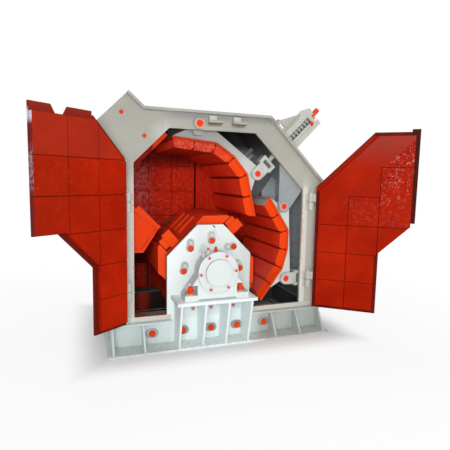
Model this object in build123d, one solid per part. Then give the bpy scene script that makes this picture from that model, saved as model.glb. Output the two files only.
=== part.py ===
from build123d import *
import math
import os

# Base frame: X runs along it from its middle, Y away from the door side, Z up from the floor.
# Its length follows from the rotor and the room beside it.
base_top = 250.0
base_plate = 20.0
base_left_set = 55.0
base_right_set = 30.0
base_foot = 200.0
base_lip = 60.0
base_inner = 60.0
base_rib_foot = 190.0
base_rib_head = 55.0
base_rib_set = 50.0
base_rib_pitch = 280.0
base_left_ribs = 2
base_right_ribs = 3
left_seat = 205.0
right_seat = 80.0
end_foot = 125.0
anchor_radius = 17.0
anchor_out = 115.0
anchor_outer_set = 190.0
anchor_inner_set = 485.0

# Housing
half_width = 535.0
frame_plate = 30.0
wall_plate = 25.0
wall_lip = 40.0
left_wall_set = 160.0
right_wall_set = 35.0
feed_room = 279.0
apron_room = 684.0
left_wall_height = 1158.0
chute_heading = 135.0
chute_length = 643.5
inlet_height = 717.0
hood_run = 138.0
roof_height = 1997.0
slope_run = 630.0
slope_drop = 630.0
left_bar = 95.0
inlet_bar = 472.0
top_bar = 175.0
slope_bar = 230.0
right_bar = 220.0
floor_bar = 45.0

# Rotor and its bearings
axis_z = 745.0
rotor_end_gap = 80.0
bar_angles = [52.0, 142.0, 232.0, 322.0]
bar_mid_radius = 556.0
bar_rake = 10.0
bar_width = 100.0
bar_depth = 200.0
wedge_width = 55.0
wedge_head = 25.0
wedge_foot = 135.0
wedge_slot_gap = 6.0
wedge_slot_foot = 24.0
heel_angle = 7.0
heel_share = 0.962
back_angle = 16.0
back_share = 0.98
crest_angle = 44.0
crest_share = 0.908
pocket_angle = 92.0
pocket_share = 0.703
groove_count = 3
groove_pitch = 205.0
groove_width = 115.0
groove_depth = 80.0
groove_head = 30.0
groove_foot = 100.0
hub_radius = 110.0
journal_radius = 75.0
running_fit = 0.05
bearing_out = 250.0
bearing_gap = 90.0
bearing_radius = 182.0
foot_offset = 250.0
foot_half = 65.0
foot_rise = 50.0
foot_round = 30.0
foot_relief = 10.0
bolt_pocket = 56.0
bolt_set = 60.0
cover_radius = 197.0
cover_plate = 25.0
cap_radius = 127.0
cap_height = 23.0
shaft_end_gap = 6.0
seal_radius = 70.0
seal_gap = 5.0
seal_out = 10.0
stub_radius = 65.0
stub_length = 200.0

# Bearing pedestal
table_half = 395.0
table_front = 300.0
table_top = 485.0
table_plate = 30.0
pedestal_ribs = 4
pedestal_rib_pitch = 232.0
pedestal_rib_foot = 190.0
pedestal_rib_head = 285.0
lip_cut_half = 400.0

# Rotor shield
shield_half = 430.0
shield_shoulder = 868.0
shield_top = 1165.0
shield_bore = 100.0
shield_liner = 40.0

# Feed chute
chute_liner_plate = 40.0
chute_joint_set = 92.0
chute_side_gap = 12.0
lip_length = 297.0
lip_nose = 34.0
lip_nose_heading = 216.5
lip_under_heading = 237.7
lip_rise = 160.0
lip_rim = 32.0
lip_panel_depth = 12.0
side_liner = 25.0
side_liner_set = 60.0
side_liner_gap = 10.0
side_liner_neck = 330.0
side_liner_hood = 42.0
side_liner_reach = 40.0
side_liner_end = 50.0
door_rebate = 12.0

# Doors, drawn shut and then swung open
left_pin_set = 60.0
right_pin_set = 77.0
pin_out = 40.0
pin_radius = 15.0
knuckle_radius = 30.0
knuckle_height = 82.0
knuckle_gap = 3.0
hinge_low = 265.0
hinge_pitch = 830.0
left_open = 145.0
right_open = 142.0
door_face_gap = 6.0
door_plate = 20.0
door_liner = 40.0
door_edge_gap = 12.0
shield_edge_gap = 12.0
door_lap = 36.0
door_step_lap = 8.0
door_slope_lap = 56.0
row_drop = 11.0
meet_x = -20.0
meet_half_gap = 10.0
tile_gap = 4.0
door_columns = 3
lower_rows = 3
upper_rows = 3
lug_rise = 68.0
notch_foot_half = 36.0
notch_head_half = 70.0
notch_rise = 6.0
lap_strip = 12.0
lap_strip_gap = 6.0
lap_strip_reach = 45.0
lap_strip_root = 30.0
lap_strip_foot = 33.0
lap_strip_head = 65.0
hinge_arm = 200.0
door_rib = 50.0
door_rib_plate = 16.0
door_rib_shares = [0.084, 0.252, 0.586, 0.752]
door_rib_inset = 60.0
latch_shift = 30.0
latch_offset = 123.0
latch_width = 140.0
latch_drop = 82.0
latch_plate = 28.0
latch_depth = 40.0
tab_set = 12.0
tab_width = 74.0
tab_height = 45.0
tab_plate = 14.0

# Impact aprons: blocks of one pitch on facets that turn from heading to heading
apron_end = 50.0
block_thick = 82.0
block_notch = 12.0
block_end_bevel = 30.0
block_bevel = 24.0
block_gap = 9.0
backing_plate = 25.0
side_plate_near = 75.0
side_plate_far = 100.0
pivot_radius = 40.0
pivot_tube = 58.0
pivot_lobe = 75.0
rod_pin_radius = 32.0
rod_pin_lobe = 64.0
boss_radius = 55.0
boss_height = 25.0
facet_blocks = [2, 1, 1, 2]
upper_pivot_set = 128.0
upper_pivot_drop = 117.0
upper_pin_run = 640.0
upper_pin_drop = 458.0
upper_head_run = 248.0
upper_head_drop = 145.0
upper_block_pitch = 218.0
upper_headings = [-5.5, -33.0, -50.0, -77.0]
upper_plate_share = 0.46
lower_pivot_set = 196.0
lower_pivot_rise = 592.0
lower_pin_run = 55.0
lower_pin_drop = 780.0
lower_head_run = 180.0
lower_head_rise = 85.0
lower_block_pitch = 205.0
lower_headings = [-56.6, -90.8, -105.0, -126.0]
lower_plate_share = 0.66
bracket_near = 42.0
bracket_far = 67.0
bracket_lobe = 64.0
bracket_rod_gap = 16.0
bracket_wall_run = 350.0

# Adjusting rods and spring boxes
rod_depth = 95.0
rod_radius = 25.0
eye_near = 45.0
eye_far = 70.0
eye_radius = 64.0
yoke_start = 100.0
yoke_end = 190.0
yoke_half = 83.0
yoke_depth = 100.0
yoke_slot_half = 50.0
yoke_slot_margin = 25.0
wall_bore = 38.0
box_half = 100.0
box_plate = 14.0
box_flange = 55.0
box_length = 400.0
box_depth = 180.0
box_end_at = 324.0
box_end_plate = 30.0
box_end_bore = 48.0
tie_radius = 12.0
tie_offset = 28.0
tie_depth = 88.0
tie_nut_radius = 22.0
tie_nut_height = 30.0
gusset_length = 330.0
gusset_height = 165.0
gusset_plate = 20.0
gusset_window = 62.0
gusset_window_set = 26.0
spring_outer = 66.0
spring_inner = 50.0
washer_gap = 6.0
washer_radius = 70.0
washer_plate = 14.0
nut_radius = 45.0
nut_height = 50.0
rod_tail = 85.0

os.makedirs("parts", exist_ok=True)
rotor_room = feed_room + 2 * bar_mid_radius + apron_room
base_half = (left_wall_set + rotor_room + right_wall_set) / 2
housing_left = left_wall_set - base_half
housing_right = base_half - right_wall_set
axis_x = housing_left + feed_room + bar_mid_radius


def front(depth):
    return depth - half_width


def prism(points, y0, y1):
    face = make_face(Polyline(*points, close=True))
    return extrude(Plane.XZ.offset(-y1) * face, amount=y1 - y0)


def disc(centre, radius, y0, y1):
    return extrude(Plane.XZ.offset(-y1) * Pos(*centre) * Circle(radius), amount=y1 - y0)


def block(x0, x1, y0, y1, z0, z1):
    return Pos((x0 + x1) / 2, (y0 + y1) / 2, (z0 + z1) / 2) * Box(x1 - x0, y1 - y0, z1 - z0)


def rib(x, thick, points):
    face = make_face(Polyline(*points, close=True))
    return extrude(Plane.YZ.offset(x - thick / 2) * face, amount=thick)


def upright(x, y, radius, z0, z1):
    return extrude(Plane.XY.offset(z0) * Pos(x, y) * Circle(radius), amount=z1 - z0)


def rod(start, y, angle, radius, length):
    way = (math.cos(math.radians(angle)), 0, math.sin(math.radians(angle)))
    return extrude(Plane(origin=(start[0], y, start[1]), z_dir=way) * Circle(radius), amount=length)


def hexagon(start, y, angle, radius, length):
    way = (math.cos(math.radians(angle)), 0, math.sin(math.radians(angle)))
    face = Plane(origin=(start[0], y, start[1]), z_dir=way) * RegularPolygon(radius, side_count=6)
    return extrude(face, amount=length)


def mirrored(shape):
    return shape.mirror(Plane.XZ)


def keep(name, *shapes):
    solids = [solid for shape in shapes for solid in shape.solids()]
    export_step(Compound(children=solids), f"parts/{name}.step")


def keep_pair(name, shape):
    keep(name, shape, mirrored(shape))


def spread(start, end, count):
    return [start + (end - start) * i / count for i in range(count + 1)]


def unit(a, b):
    length = math.dist(a, b)
    return (b[0] - a[0]) / length, (b[1] - a[1]) / length


def heading(a, b):
    return math.degrees(math.atan2(b[1] - a[1], b[0] - a[0]))


def way(angle):
    return math.cos(math.radians(angle)), math.sin(math.radians(angle))


def along(origin, angle, a, b):
    c, s = way(angle)
    return origin[0] + a * c - b * s, origin[1] + a * s + b * c


def crossing(p, d, q, e):
    reach = ((q[0] - p[0]) * e[1] - (q[1] - p[1]) * e[0]) / (d[0] * e[1] - d[1] * e[0])
    return p[0] + reach * d[0], p[1] + reach * d[1]


def corners(lines):
    return [crossing(*lines[i - 1], *lines[i]) for i in range(len(lines))]


def inset(points, distances):
    """Clockwise polygon with each edge moved inwards by its own distance."""
    lines = []
    for i, distance in enumerate(distances):
        a, b = points[i], points[(i + 1) % len(points)]
        d = unit(a, b)
        lines.append(((a[0] + d[1] * distance, a[1] - d[0] * distance), d))
    return corners(lines)


def path_offset(points, distance):
    """Open path moved to its left by the distance."""
    lines = []
    for a, b in zip(points, points[1:]):
        d = unit(a, b)
        lines.append(((a[0] - d[1] * distance, a[1] + d[0] * distance), d))
    ends = [lines[0][0]]
    ends += [crossing(*lines[i], *lines[i + 1]) for i in range(len(lines) - 1)]
    p, d = lines[-1]
    length = math.dist(points[-2], points[-1])
    return ends + [(p[0] + d[0] * length, p[1] + d[1] * length)]


def strap(p, p_radius, q, q_radius, y0, y1):
    """Two discs with the plate that touches both along their outer tangents."""
    turn = heading(p, q)
    sine = (p_radius - q_radius) / math.dist(p, q)
    cosine = math.sqrt(1 - sine * sine)
    sides = [along(p, turn, p_radius * sine, p_radius * cosine),
             along(q, turn, q_radius * sine, q_radius * cosine),
             along(q, turn, q_radius * sine, -q_radius * cosine),
             along(p, turn, p_radius * sine, -p_radius * cosine)]
    return prism(sides, y0, y1) + disc(p, p_radius, y0, y1) + disc(q, q_radius, y0, y1)


# Base frame
def base_side_beam():
    left, right = base_left_set - base_half, base_half - base_right_set
    y_web, y_back, under = front(0), front(frame_plate), base_top - base_plate
    beam = block(left, right, y_web, y_back, base_plate, under)
    beam += block(-base_half, base_half, front(-base_foot), front(base_inner), 0, base_plate)
    beam += block(left, right, front(-base_lip), front(base_inner), under, base_top)
    beam -= block(axis_x - lip_cut_half, axis_x + lip_cut_half, front(-base_lip), y_web, under, base_top)
    outline = [(y_web, base_plate), (front(-base_rib_foot), base_plate),
               (front(-base_rib_head), under), (y_web, under)]
    for side, count in ((-1, base_left_ribs), (1, base_right_ribs)):
        for i in range(count):
            beam += rib(side * (base_half - base_rib_set - i * base_rib_pitch), base_plate, outline)
    for inward in (anchor_outer_set, anchor_inner_set):
        for side in (-1, 1):
            beam -= upright(side * (base_half - inward), front(-anchor_out), anchor_radius, 0, base_plate)
    return beam


def base_end_beam(side, web_set, seat):
    y_web, y_flange = half_width - frame_plate, half_width - base_inner
    end, web = side * base_half, side * (base_half - web_set)
    beam = block(*sorted((web, web - side * wall_plate)), -y_web, y_web, base_plate, base_top - base_plate)
    beam += block(*sorted((end, end - side * end_foot)), -y_flange, y_flange, 0, base_plate)
    beam += block(*sorted((web, end - side * seat)), -y_flange, y_flange, base_top - base_plate, base_top)
    return beam


keep_pair("base_side_beams", base_side_beam())
keep("base_end_beams", base_end_beam(-1, base_left_set, left_seat),
     base_end_beam(1, base_right_set, right_seat))


# Bearing pedestals
def pedestal():
    under = table_top - table_plate
    top = block(axis_x - table_half, axis_x + table_half, front(-table_front), front(0), under, table_top)
    outline = [(front(0), base_plate), (front(-pedestal_rib_foot), base_plate),
               (front(-pedestal_rib_head), under), (front(0), under)]
    reach = pedestal_rib_pitch * (pedestal_ribs - 1) / 2
    for offset in spread(-reach, reach, pedestal_ribs - 1):
        top += rib(axis_x + offset, base_plate, outline)
    return top


keep_pair("bearing_pedestals", pedestal())

# Housing plates round the envelope; the inlet and the floor stay open
roof_z = base_top + roof_height
chute_root = (housing_left, base_top + left_wall_height)
inlet_low = along(chute_root, chute_heading, chute_length, 0)
inlet_high = along(inlet_low, chute_heading, 0, -inlet_height)
roof_end = (housing_right - slope_run, roof_z)
slope_foot = (housing_right, roof_z - slope_drop)
envelope = [
    (housing_left, base_top), chute_root, inlet_low, inlet_high, (inlet_high[0] + hood_run, roof_z),
    roof_end, slope_foot, (housing_right, base_top),
]
covered = [wall_plate, wall_plate, 0, wall_plate, wall_plate, wall_plate, wall_plate, 0]
inner = inset(envelope, covered)
slope_heading = heading(roof_end, slope_foot)
opening = corners([
    ((housing_left + left_bar, 0), (0, 1)),
    (along(inlet_low, chute_heading, -inlet_bar, 0), unit(inlet_low, inlet_high)),
    ((0, roof_z - top_bar), (1, 0)),
    (along(roof_end, slope_heading, 0, -slope_bar), way(slope_heading)),
    ((housing_right - right_bar, 0), (0, 1)),
    ((0, base_top + floor_bar), (1, 0)),
])
opening_floor = base_top + floor_bar
upper_pivot = (axis_x - upper_pivot_set, roof_z - upper_pivot_drop)
upper_rod_pin = (upper_pivot[0] + upper_pin_run, upper_pivot[1] - upper_pin_drop)
lower_pivot = (housing_right - right_bar - lower_pivot_set, axis_z + lower_pivot_rise)
lower_rod_pin = (lower_pivot[0] + lower_pin_run, lower_pivot[1] - lower_pin_drop)
upper_rod_heading = slope_heading + 90
lower_rod_heading = 0


def side_frame():
    plate = prism(inner, front(0), front(frame_plate)) - prism(opening, front(0), front(frame_plate))
    plate += disc(upper_pivot, boss_radius, front(-boss_height), front(0))
    return plate - disc(upper_pivot, pivot_radius + running_fit, front(-boss_height), front(frame_plate))


def wall(index, lip):
    outline = [envelope[index], envelope[index + 1], inner[index + 1], inner[index]]
    return prism(outline, front(-lip), -front(-lip))


def rod_bore(pin, angle):
    return rod(pin, front(rod_depth), angle, wall_bore, 2 * box_length)


keep_pair("side_frames", side_frame())
keep("left_end_wall", wall(0, 0))
keep("chute_floor", wall(1, 0))
keep("hood_top", wall(3, wall_lip))
keep("roof_plate", wall(4, wall_lip))
upper_bore = rod_bore(upper_rod_pin, upper_rod_heading)
lower_bore = rod_bore(lower_rod_pin, lower_rod_heading)
keep("sloped_wall", wall(5, wall_lip) - upper_bore - mirrored(upper_bore))
keep("right_end_wall", wall(6, 0) - lower_bore - mirrored(lower_bore))

# Feed chute liner and feed lip
floor_way = unit(inner[2], inner[1])
joint = crossing(inner[1], floor_way, (inner[1][0] + chute_joint_set, 0), (0, 1))
liner_root = along(joint, chute_heading, 0, -chute_liner_plate)
liner_end = along(inner[2], chute_heading, 0, -chute_liner_plate)
chute_half = half_width - frame_plate - chute_side_gap
keep("chute_liner", prism([inner[2], joint, liner_root, liner_end], -chute_half, chute_half))
lip_half = half_width - apron_end
lip_floor = axis_z + lip_rise
lip_tip = along(liner_root, chute_heading, -lip_length, 0)
lip_chin = along(lip_tip, lip_nose_heading, lip_nose, 0)
lip_heel = crossing(lip_chin, way(lip_under_heading), (0, lip_floor), (1, 0))
lip = prism([inner[1], (inner[1][0], lip_floor), lip_heel, lip_chin, lip_tip, liner_root, joint],
            -lip_half, lip_half)
lip_edge = [inner[1], joint, lip_tip, lip_heel, (inner[1][0], lip_floor)]
panel = prism(inset(lip_edge, [lip_rim] * len(lip_edge)), -lip_half, lip_panel_depth - lip_half)
keep("feed_lip", lip - panel - mirrored(panel))


# Side liners of the inlet, rebated for the shut doors
def throat(inward, rise):
    return along(inlet_low, chute_heading, -inward, -rise)


side_low = wall_plate + chute_liner_plate + side_liner_gap
side_edge = inlet_bar + side_liner_reach
side_high = math.dist(throat(inlet_bar, 0), opening[2]) - side_liner_end
side_back = front(frame_plate + side_liner)
side_hood = inlet_height - wall_plate - side_liner_hood
cheek = prism([throat(side_liner_set, side_low), throat(side_edge, side_low), throat(side_edge, side_high),
               throat(side_liner_neck, side_high), throat(side_liner_set, side_hood)],
              front(frame_plate), side_back)
cheek -= prism([throat(inlet_bar, side_low), throat(side_edge, side_low), throat(side_edge, side_high),
                throat(inlet_bar, side_high)], front(frame_plate), front(frame_plate + door_rebate))
keep_pair("inlet_side_liners", cheek)

# Rotor shields with their liners
shield_cut = shield_top - shield_shoulder
shield = [
    (axis_x - shield_half, opening_floor), (axis_x - shield_half, shield_shoulder),
    (axis_x - shield_half + shield_cut, shield_top), (axis_x + shield_half - shield_cut, shield_top),
    (axis_x + shield_half, shield_shoulder), (axis_x + shield_half, opening_floor),
]
axis = (axis_x, axis_z)
liner_back = frame_plate + shield_liner
keep_pair("rotor_shields", prism(shield, front(0), front(frame_plate))
          - disc(axis, shield_bore, front(0), front(frame_plate)))
keep_pair("shield_liners", prism(shield, front(frame_plate), front(liner_back))
          - disc(axis, shield_bore, front(frame_plate), front(liner_back)))

# Bearings
bearing_y = (front(-bearing_out), front(-bearing_gap))
foot_z = table_top + foot_rise
foot_reach = foot_offset + foot_half
bearing = block(axis_x - foot_reach, axis_x + foot_reach, *bearing_y, table_top + foot_relief, foot_z)
for side in (-1, 1):
    toe = (axis_x + side * (foot_reach - foot_round), foot_z)
    bearing += strap(axis, bearing_radius, toe, foot_round, *bearing_y)
    bolt_x = axis_x + side * foot_offset
    bearing += block(bolt_x - foot_half, bolt_x + foot_half, *bearing_y, table_top, foot_z)
    bearing += prism([axis, toe, (axis_x, foot_z)], *bearing_y)
for side in (-1, 1):
    bolt_x = axis_x + side * foot_offset
    bearing -= upright(bolt_x, front(bolt_set - bearing_out), bolt_pocket, foot_z, axis_z)
keep_pair("bearing_housings", bearing - disc(axis, journal_radius + running_fit, *bearing_y))
cover_out = bearing_out + cover_plate
cap_out = cover_out + cap_height
cover = disc(axis, cover_radius, front(-cover_out), front(-bearing_out))
cover += disc(axis, cap_radius, front(-cap_out), front(-cover_out))
keep("bearing_covers", cover,
     mirrored(cover - disc(axis, seal_radius + seal_gap, front(-cap_out), front(-bearing_out))))


# Rotor
def polar(degrees, radius):
    return along(axis, degrees, radius, 0)


def bar_outline(angle, side0, side1, depth0, depth1):
    middle = polar(angle, bar_mid_radius)
    lean = angle - bar_rake
    return [along(middle, lean, -depth, side) for side, depth in
            ((side0, depth0), (side0, depth1), (side1, depth1), (side1, depth0))]


def grooves(angle):
    crest = polar(angle + crest_angle, crest_share * bar_mid_radius)
    pocket = polar(angle + pocket_angle, pocket_share * bar_mid_radius)
    turn = heading(crest, pocket)
    foot = math.dist(crest, pocket) - groove_foot
    outline = [along(crest, turn, groove_head, -groove_depth), along(crest, turn, foot, -groove_depth),
               along(crest, turn, foot, groove_depth), along(crest, turn, groove_head, groove_depth)]
    reach = groove_pitch * (groove_count - 1) / 2
    return [prism(outline, y - groove_width / 2, y + groove_width / 2)
            for y in spread(-reach, reach, groove_count - 1)]


rotor_half = half_width - rotor_end_gap
bar_half = bar_width / 2
bars = [prism(bar_outline(angle, -bar_half, bar_half, 0, bar_depth), -rotor_half, rotor_half)
        for angle in bar_angles]
wedges = [prism(bar_outline(angle, bar_half, bar_half + wedge_width, wedge_head, wedge_foot),
                -rotor_half, rotor_half) for angle in bar_angles]
quarter = ((heel_angle, heel_share), (back_angle, back_share), (crest_angle, crest_share),
           (pocket_angle, pocket_share))
profile = [polar(angle + turn, share * bar_mid_radius) for angle in bar_angles for turn, share in quarter]
body = prism(profile, -rotor_half, rotor_half) - disc(axis, hub_radius, -rotor_half, rotor_half)
for angle in bar_angles:
    for groove in grooves(angle):
        body -= groove
for piece in bars:
    body -= piece
slot_side, slot_foot = bar_half + wedge_width + wedge_slot_gap, wedge_foot + wedge_slot_foot
for angle in bar_angles:
    body -= prism(bar_outline(angle, bar_half, slot_side, 0, slot_foot), -rotor_half, rotor_half)
keep("rotor_body", body)
keep("blow_bars", *bars)
keep("bar_wedges", *wedges)
journal_end = half_width + bearing_out - shaft_end_gap
seal_end = half_width + cap_out + seal_out
shaft = disc(axis, hub_radius, -rotor_half, rotor_half)
shaft += disc(axis, journal_radius, -journal_end, journal_end)
shaft += disc(axis, seal_radius, journal_end, seal_end)
shaft += disc(axis, stub_radius, seal_end, seal_end + stub_length)
keep("rotor_shaft", shaft)

# Door outlines, shut
liner = inset(opening, [door_edge_gap] * len(opening))
room = inset(shield, [-shield_edge_gap] * len(shield))
liner_floor, liner_top = liner[0][1], liner[2][1]
step_z = room[2][1]
meet_left, meet_right = meet_x - meet_half_gap, meet_x + meet_half_gap
left_liner = [
    liner[0], liner[1], liner[2], (meet_left, liner_top), (meet_left, step_z), room[2], room[1],
    (room[0][0], liner_floor),
]
right_liner = [
    (room[5][0], liner_floor), room[4], room[3], (meet_right, step_z), (meet_right, liner_top),
    liner[3], liner[4], liner[5],
]
plate_in, plate_out = front(-door_face_gap), front(-door_face_gap - door_plate)
liner_in = plate_in + door_liner
pin_y = front(-pin_out)
left_pin_x = liner[0][0] - door_edge_gap - left_pin_set
right_pin_x = liner[5][0] + door_edge_gap + right_pin_set


def tiles(outline, cells):
    shape = prism(outline, plate_in, liner_in)
    found = []
    for cell in cells:
        found += (shape & prism(inset(cell, [tile_gap / 2] * len(cell)), plate_in, liner_in)).solids()
    return found


def cell(x0, x1, z0, z1):
    return [(x0, z0), (x0, z1), (x1, z1), (x1, z0)]


row_z = spread(liner_floor, step_z, lower_rows) + spread(step_z, liner_top, upper_rows)[1:]
row_z = [liner_floor] + [z - row_drop for z in row_z[1:-1]] + [liner_top]
left_x = [liner[0][0]] + spread(room[0][0], meet_left, door_columns - 1)
right_x = spread(meet_right, liner[5][0], door_columns)
left_rows = [row_z, row_z[lower_rows - 1:], row_z[lower_rows:]]
left_cells = [cell(x0, x1, z0, z1) for x0, x1, rows in zip(left_x, left_x[1:], left_rows)
              for z0, z1 in zip(rows, rows[1:])]
free, far, near, hung = right_x
right_cells = [cell(near, hung, z0, z1) for z0, z1 in zip(row_z[:3], row_z[1:4])]
right_cells += [cell(far, near, z0, z1) for z0, z1 in zip(row_z[:4], row_z[1:5])]
right_cells += [cell(free, far, liner_floor, row_z[3]), cell(free, far, row_z[3], row_z[5])]
right_cells.append([(near, row_z[3]), (near, row_z[4]), (far, row_z[4]), (far, row_z[5]), (free, row_z[5]),
                    (free, row_z[6]), (hung, row_z[6]), (hung, row_z[3])])


def door_knuckle(pin_x, side, low):
    reach = sorted((pin_x, pin_x + side * hinge_arm))
    arm = block(*reach, plate_out - door_plate, plate_out, low, low + knuckle_height)
    knuckle = upright(pin_x, pin_y, knuckle_radius, low, low + knuckle_height) + arm
    return knuckle - upright(pin_x, pin_y, pin_radius + running_fit, low, low + knuckle_height)


hinge_z = [opening_floor + hinge_low, opening_floor + hinge_low + hinge_pitch]


def door(outline, laps, pin_x, side):
    edge = inset(outline, laps)
    plate = prism(edge, plate_out, plate_in)
    for share in door_rib_shares:
        z = liner_floor + share * (liner_top - liner_floor)
        level = block(left_pin_x, right_pin_x, plate_out, plate_in, z, z + door_rib_plate)
        reach = (prism(edge, plate_out, plate_in) & level).bounding_box()
        plate += block(reach.min.X + door_rib_inset, reach.max.X - door_rib_inset, plate_out - door_rib,
                       plate_out, z, z + door_rib_plate)
    for z in hinge_z:
        plate += door_knuckle(pin_x, side, z + knuckle_gap)
    return plate


left_laps = [-door_lap, -door_lap, -door_lap, 0, -door_step_lap, -door_lap, -door_lap, -door_lap]
left_plate = door(left_liner, left_laps, left_pin_x, 1)
left_plate += block(liner[2][0], meet_left, plate_out, plate_in, liner_top, liner_top + lug_rise)
notch_low, notch_high = liner_top + notch_rise, liner_top + lug_rise
notch_x = upper_pivot[0]
left_plate -= prism([(notch_x - notch_foot_half, notch_low), (notch_x - notch_head_half, notch_high),
                     (notch_x + notch_head_half, notch_high), (notch_x + notch_foot_half, notch_low)],
                    plate_out, plate_in)
right_laps = [-door_lap, -door_step_lap, -door_step_lap, 0, -door_lap, -door_slope_lap, -door_lap, -door_lap]
right_plate = door(right_liner, right_laps, right_pin_x, -1)
strip_out = plate_out - lap_strip_gap - lap_strip
strip_low = step_z + lap_strip_foot
right_plate += block(meet_right, meet_right + lap_strip_root, strip_out, plate_out, strip_low, liner_top)
right_plate += block(meet_right - lap_strip_reach, meet_right + lap_strip_root, strip_out,
                     strip_out + lap_strip, strip_low, liner_top + lap_strip_head)
left_tiles = Compound(children=tiles(left_liner, left_cells))
right_tiles = Compound(children=tiles(right_liner, right_cells))


def swung(shape, pin_x, angle):
    return shape.rotate(Axis((pin_x, pin_y, 0), (0, 0, 1)), angle)


keep("left_door_plate", swung(left_plate, left_pin_x, -left_open))
keep("left_door_tiles", swung(left_tiles, left_pin_x, -left_open))
keep("right_door_plate", swung(right_plate, right_pin_x, right_open))
keep("right_door_tiles", swung(right_tiles, right_pin_x, right_open))
keep("rear_doors", mirrored(left_plate), mirrored(right_plate))
keep("rear_door_tiles", mirrored(left_tiles), mirrored(right_tiles))


# Fixed hinge knuckles with their pins, and the latch brackets
def hinge(pin_x, z):
    low = z - knuckle_gap - knuckle_height
    lug = block(pin_x - knuckle_radius, pin_x + knuckle_radius, pin_y, front(0), low, z - knuckle_gap)
    lug += upright(pin_x, pin_y, knuckle_radius, low, z - knuckle_gap)
    return lug + upright(pin_x, pin_y, pin_radius, low, z + knuckle_gap + knuckle_height)


def latch(side):
    middle = meet_x + latch_shift + side * latch_offset
    top = roof_z - latch_drop
    start = middle - latch_width / 2
    shelf = block(start, start + latch_width, front(-latch_depth), front(0), top - latch_plate, top)
    return shelf + block(start + tab_set, start + tab_set + tab_width, front(-tab_plate), front(0), top,
                         top + tab_height)


hinges = [hinge(x, z) for x in (left_pin_x, right_pin_x) for z in hinge_z]
keep("hinge_posts", *hinges, *[mirrored(piece) for piece in hinges])
latches = [latch(-1), latch(1)]
keep("door_latches", *latches, *[mirrored(piece) for piece in latches])


# Impact aprons
def facets(head, headings, pitch):
    path = [head]
    for angle, count in zip(headings, facet_blocks):
        path.append(along(path[-1], angle, count * pitch, 0))
    return path


def apron_blocks(back, headings, pitch):
    """Blocks mitred where the facets turn, notched at the backing, with their later edge bevelled."""
    half = half_width - apron_end
    found = []
    last = len(headings) - 1
    bevel_depth = block_thick - block_bevel
    for k, (start, angle, count) in enumerate(zip(back, headings, facet_blocks)):
        before, after = headings[max(k - 1, 0)] - angle, angle - headings[min(k + 1, last)]
        lead = block_thick * math.tan(math.radians(before / 2)) if k else block_end_bevel
        trail = block_thick * math.tan(math.radians(after / 2)) if k < last else block_end_bevel
        for i in range(count):
            s0, s1 = i * pitch + block_gap / 2, (i + 1) * pitch - block_gap / 2
            d0 = lead if i == 0 else 0
            d1 = trail if i == count - 1 else 0
            outline = [(s0 + block_notch, 0), (s1 - block_notch, 0)]
            outline += [(s1 - d1 * block_notch / block_thick, -block_notch)]
            outline += [(s1 - d1 * bevel_depth / block_thick, -bevel_depth)]
            outline += [(s1 - d1 - block_bevel, -block_thick)]
            outline += [(s0 + d0, -block_thick), (s0 + d0 * block_notch / block_thick, -block_notch)]
            found.append(prism([along(start, angle, *point) for point in outline], -half, half))
    return found


def apron_backing(back):
    half = half_width - apron_end
    return prism(back + path_offset(back, backing_plate)[::-1], -half, half)


def apron_frame(back, share, pivot, pin):
    near_y, far_y = front(side_plate_near), front(side_plate_far)
    edge = path_offset(back, backing_plate)
    a, b = edge[-2:]
    tail = (a[0] + (b[0] - a[0]) * share, a[1] + (b[1] - a[1]) * share)
    plate = prism(edge[:-1] + [tail, pin, pivot], near_y, far_y)
    plate += strap(pivot, pivot_lobe, pin, rod_pin_lobe, near_y, far_y)
    plate -= disc(pin, rod_pin_radius, near_y, far_y)
    frame = plate + mirrored(plate) + disc(pivot, pivot_tube, near_y, -near_y)
    frame -= disc(pivot, pivot_radius, near_y, -near_y)
    return frame - apron_backing(back) - prism(back, near_y, -near_y)


def apron_pins(pivot, pin, end):
    pins = disc(pin, rod_pin_radius, front(eye_near), front(side_plate_far))
    return [disc(pivot, pivot_radius, -end, end), pins, mirrored(pins)]


upper_head = (upper_pivot[0] - upper_head_run, upper_pivot[1] - upper_head_drop)
upper_back = facets(upper_head, upper_headings, upper_block_pitch)
lower_head = (lower_pivot[0] - lower_head_run, lower_pivot[1] + lower_head_rise)
lower_back = facets(lower_head, lower_headings, lower_block_pitch)
keep("upper_apron_blocks", *apron_blocks(upper_back, upper_headings, upper_block_pitch))
keep("upper_apron_backing", apron_backing(upper_back))
keep("upper_apron_frame", apron_frame(upper_back, upper_plate_share, upper_pivot, upper_rod_pin))
keep("upper_apron_pins", *apron_pins(upper_pivot, upper_rod_pin, half_width + boss_height))
keep("lower_apron_blocks", *apron_blocks(lower_back, lower_headings, lower_block_pitch))
keep("lower_apron_backing", apron_backing(lower_back))
keep("lower_apron_frame", apron_frame(lower_back, lower_plate_share, lower_pivot, lower_rod_pin))
keep("lower_apron_pins", *apron_pins(lower_pivot, lower_rod_pin, half_width - bracket_near))

# Brackets that carry the lower apron, clear of the upper rods
bracket_y = (front(bracket_near), front(bracket_far))
lane = along(upper_rod_pin, upper_rod_heading, 0, -yoke_half - bracket_rod_gap)
lane_way = way(upper_rod_heading)
slope_in = (inner[5], way(slope_heading))
lane_top = crossing(lane, lane_way, *slope_in)
lane_foot = crossing(lane, lane_way, (lower_pivot[0] - bracket_lobe, 0), (0, 1))
bracket_end = along(lane_top, slope_heading, bracket_wall_run, 0)
bracket = prism([lane_foot, lane_top, bracket_end, along(lower_pivot, slope_heading, bracket_lobe, 0),
                 (lower_pivot[0] - bracket_lobe, lower_pivot[1])], *bracket_y)
bracket += disc(lower_pivot, bracket_lobe, *bracket_y)
keep_pair("apron_brackets", bracket - disc(lower_pivot, pivot_radius + running_fit, *bracket_y))


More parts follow.
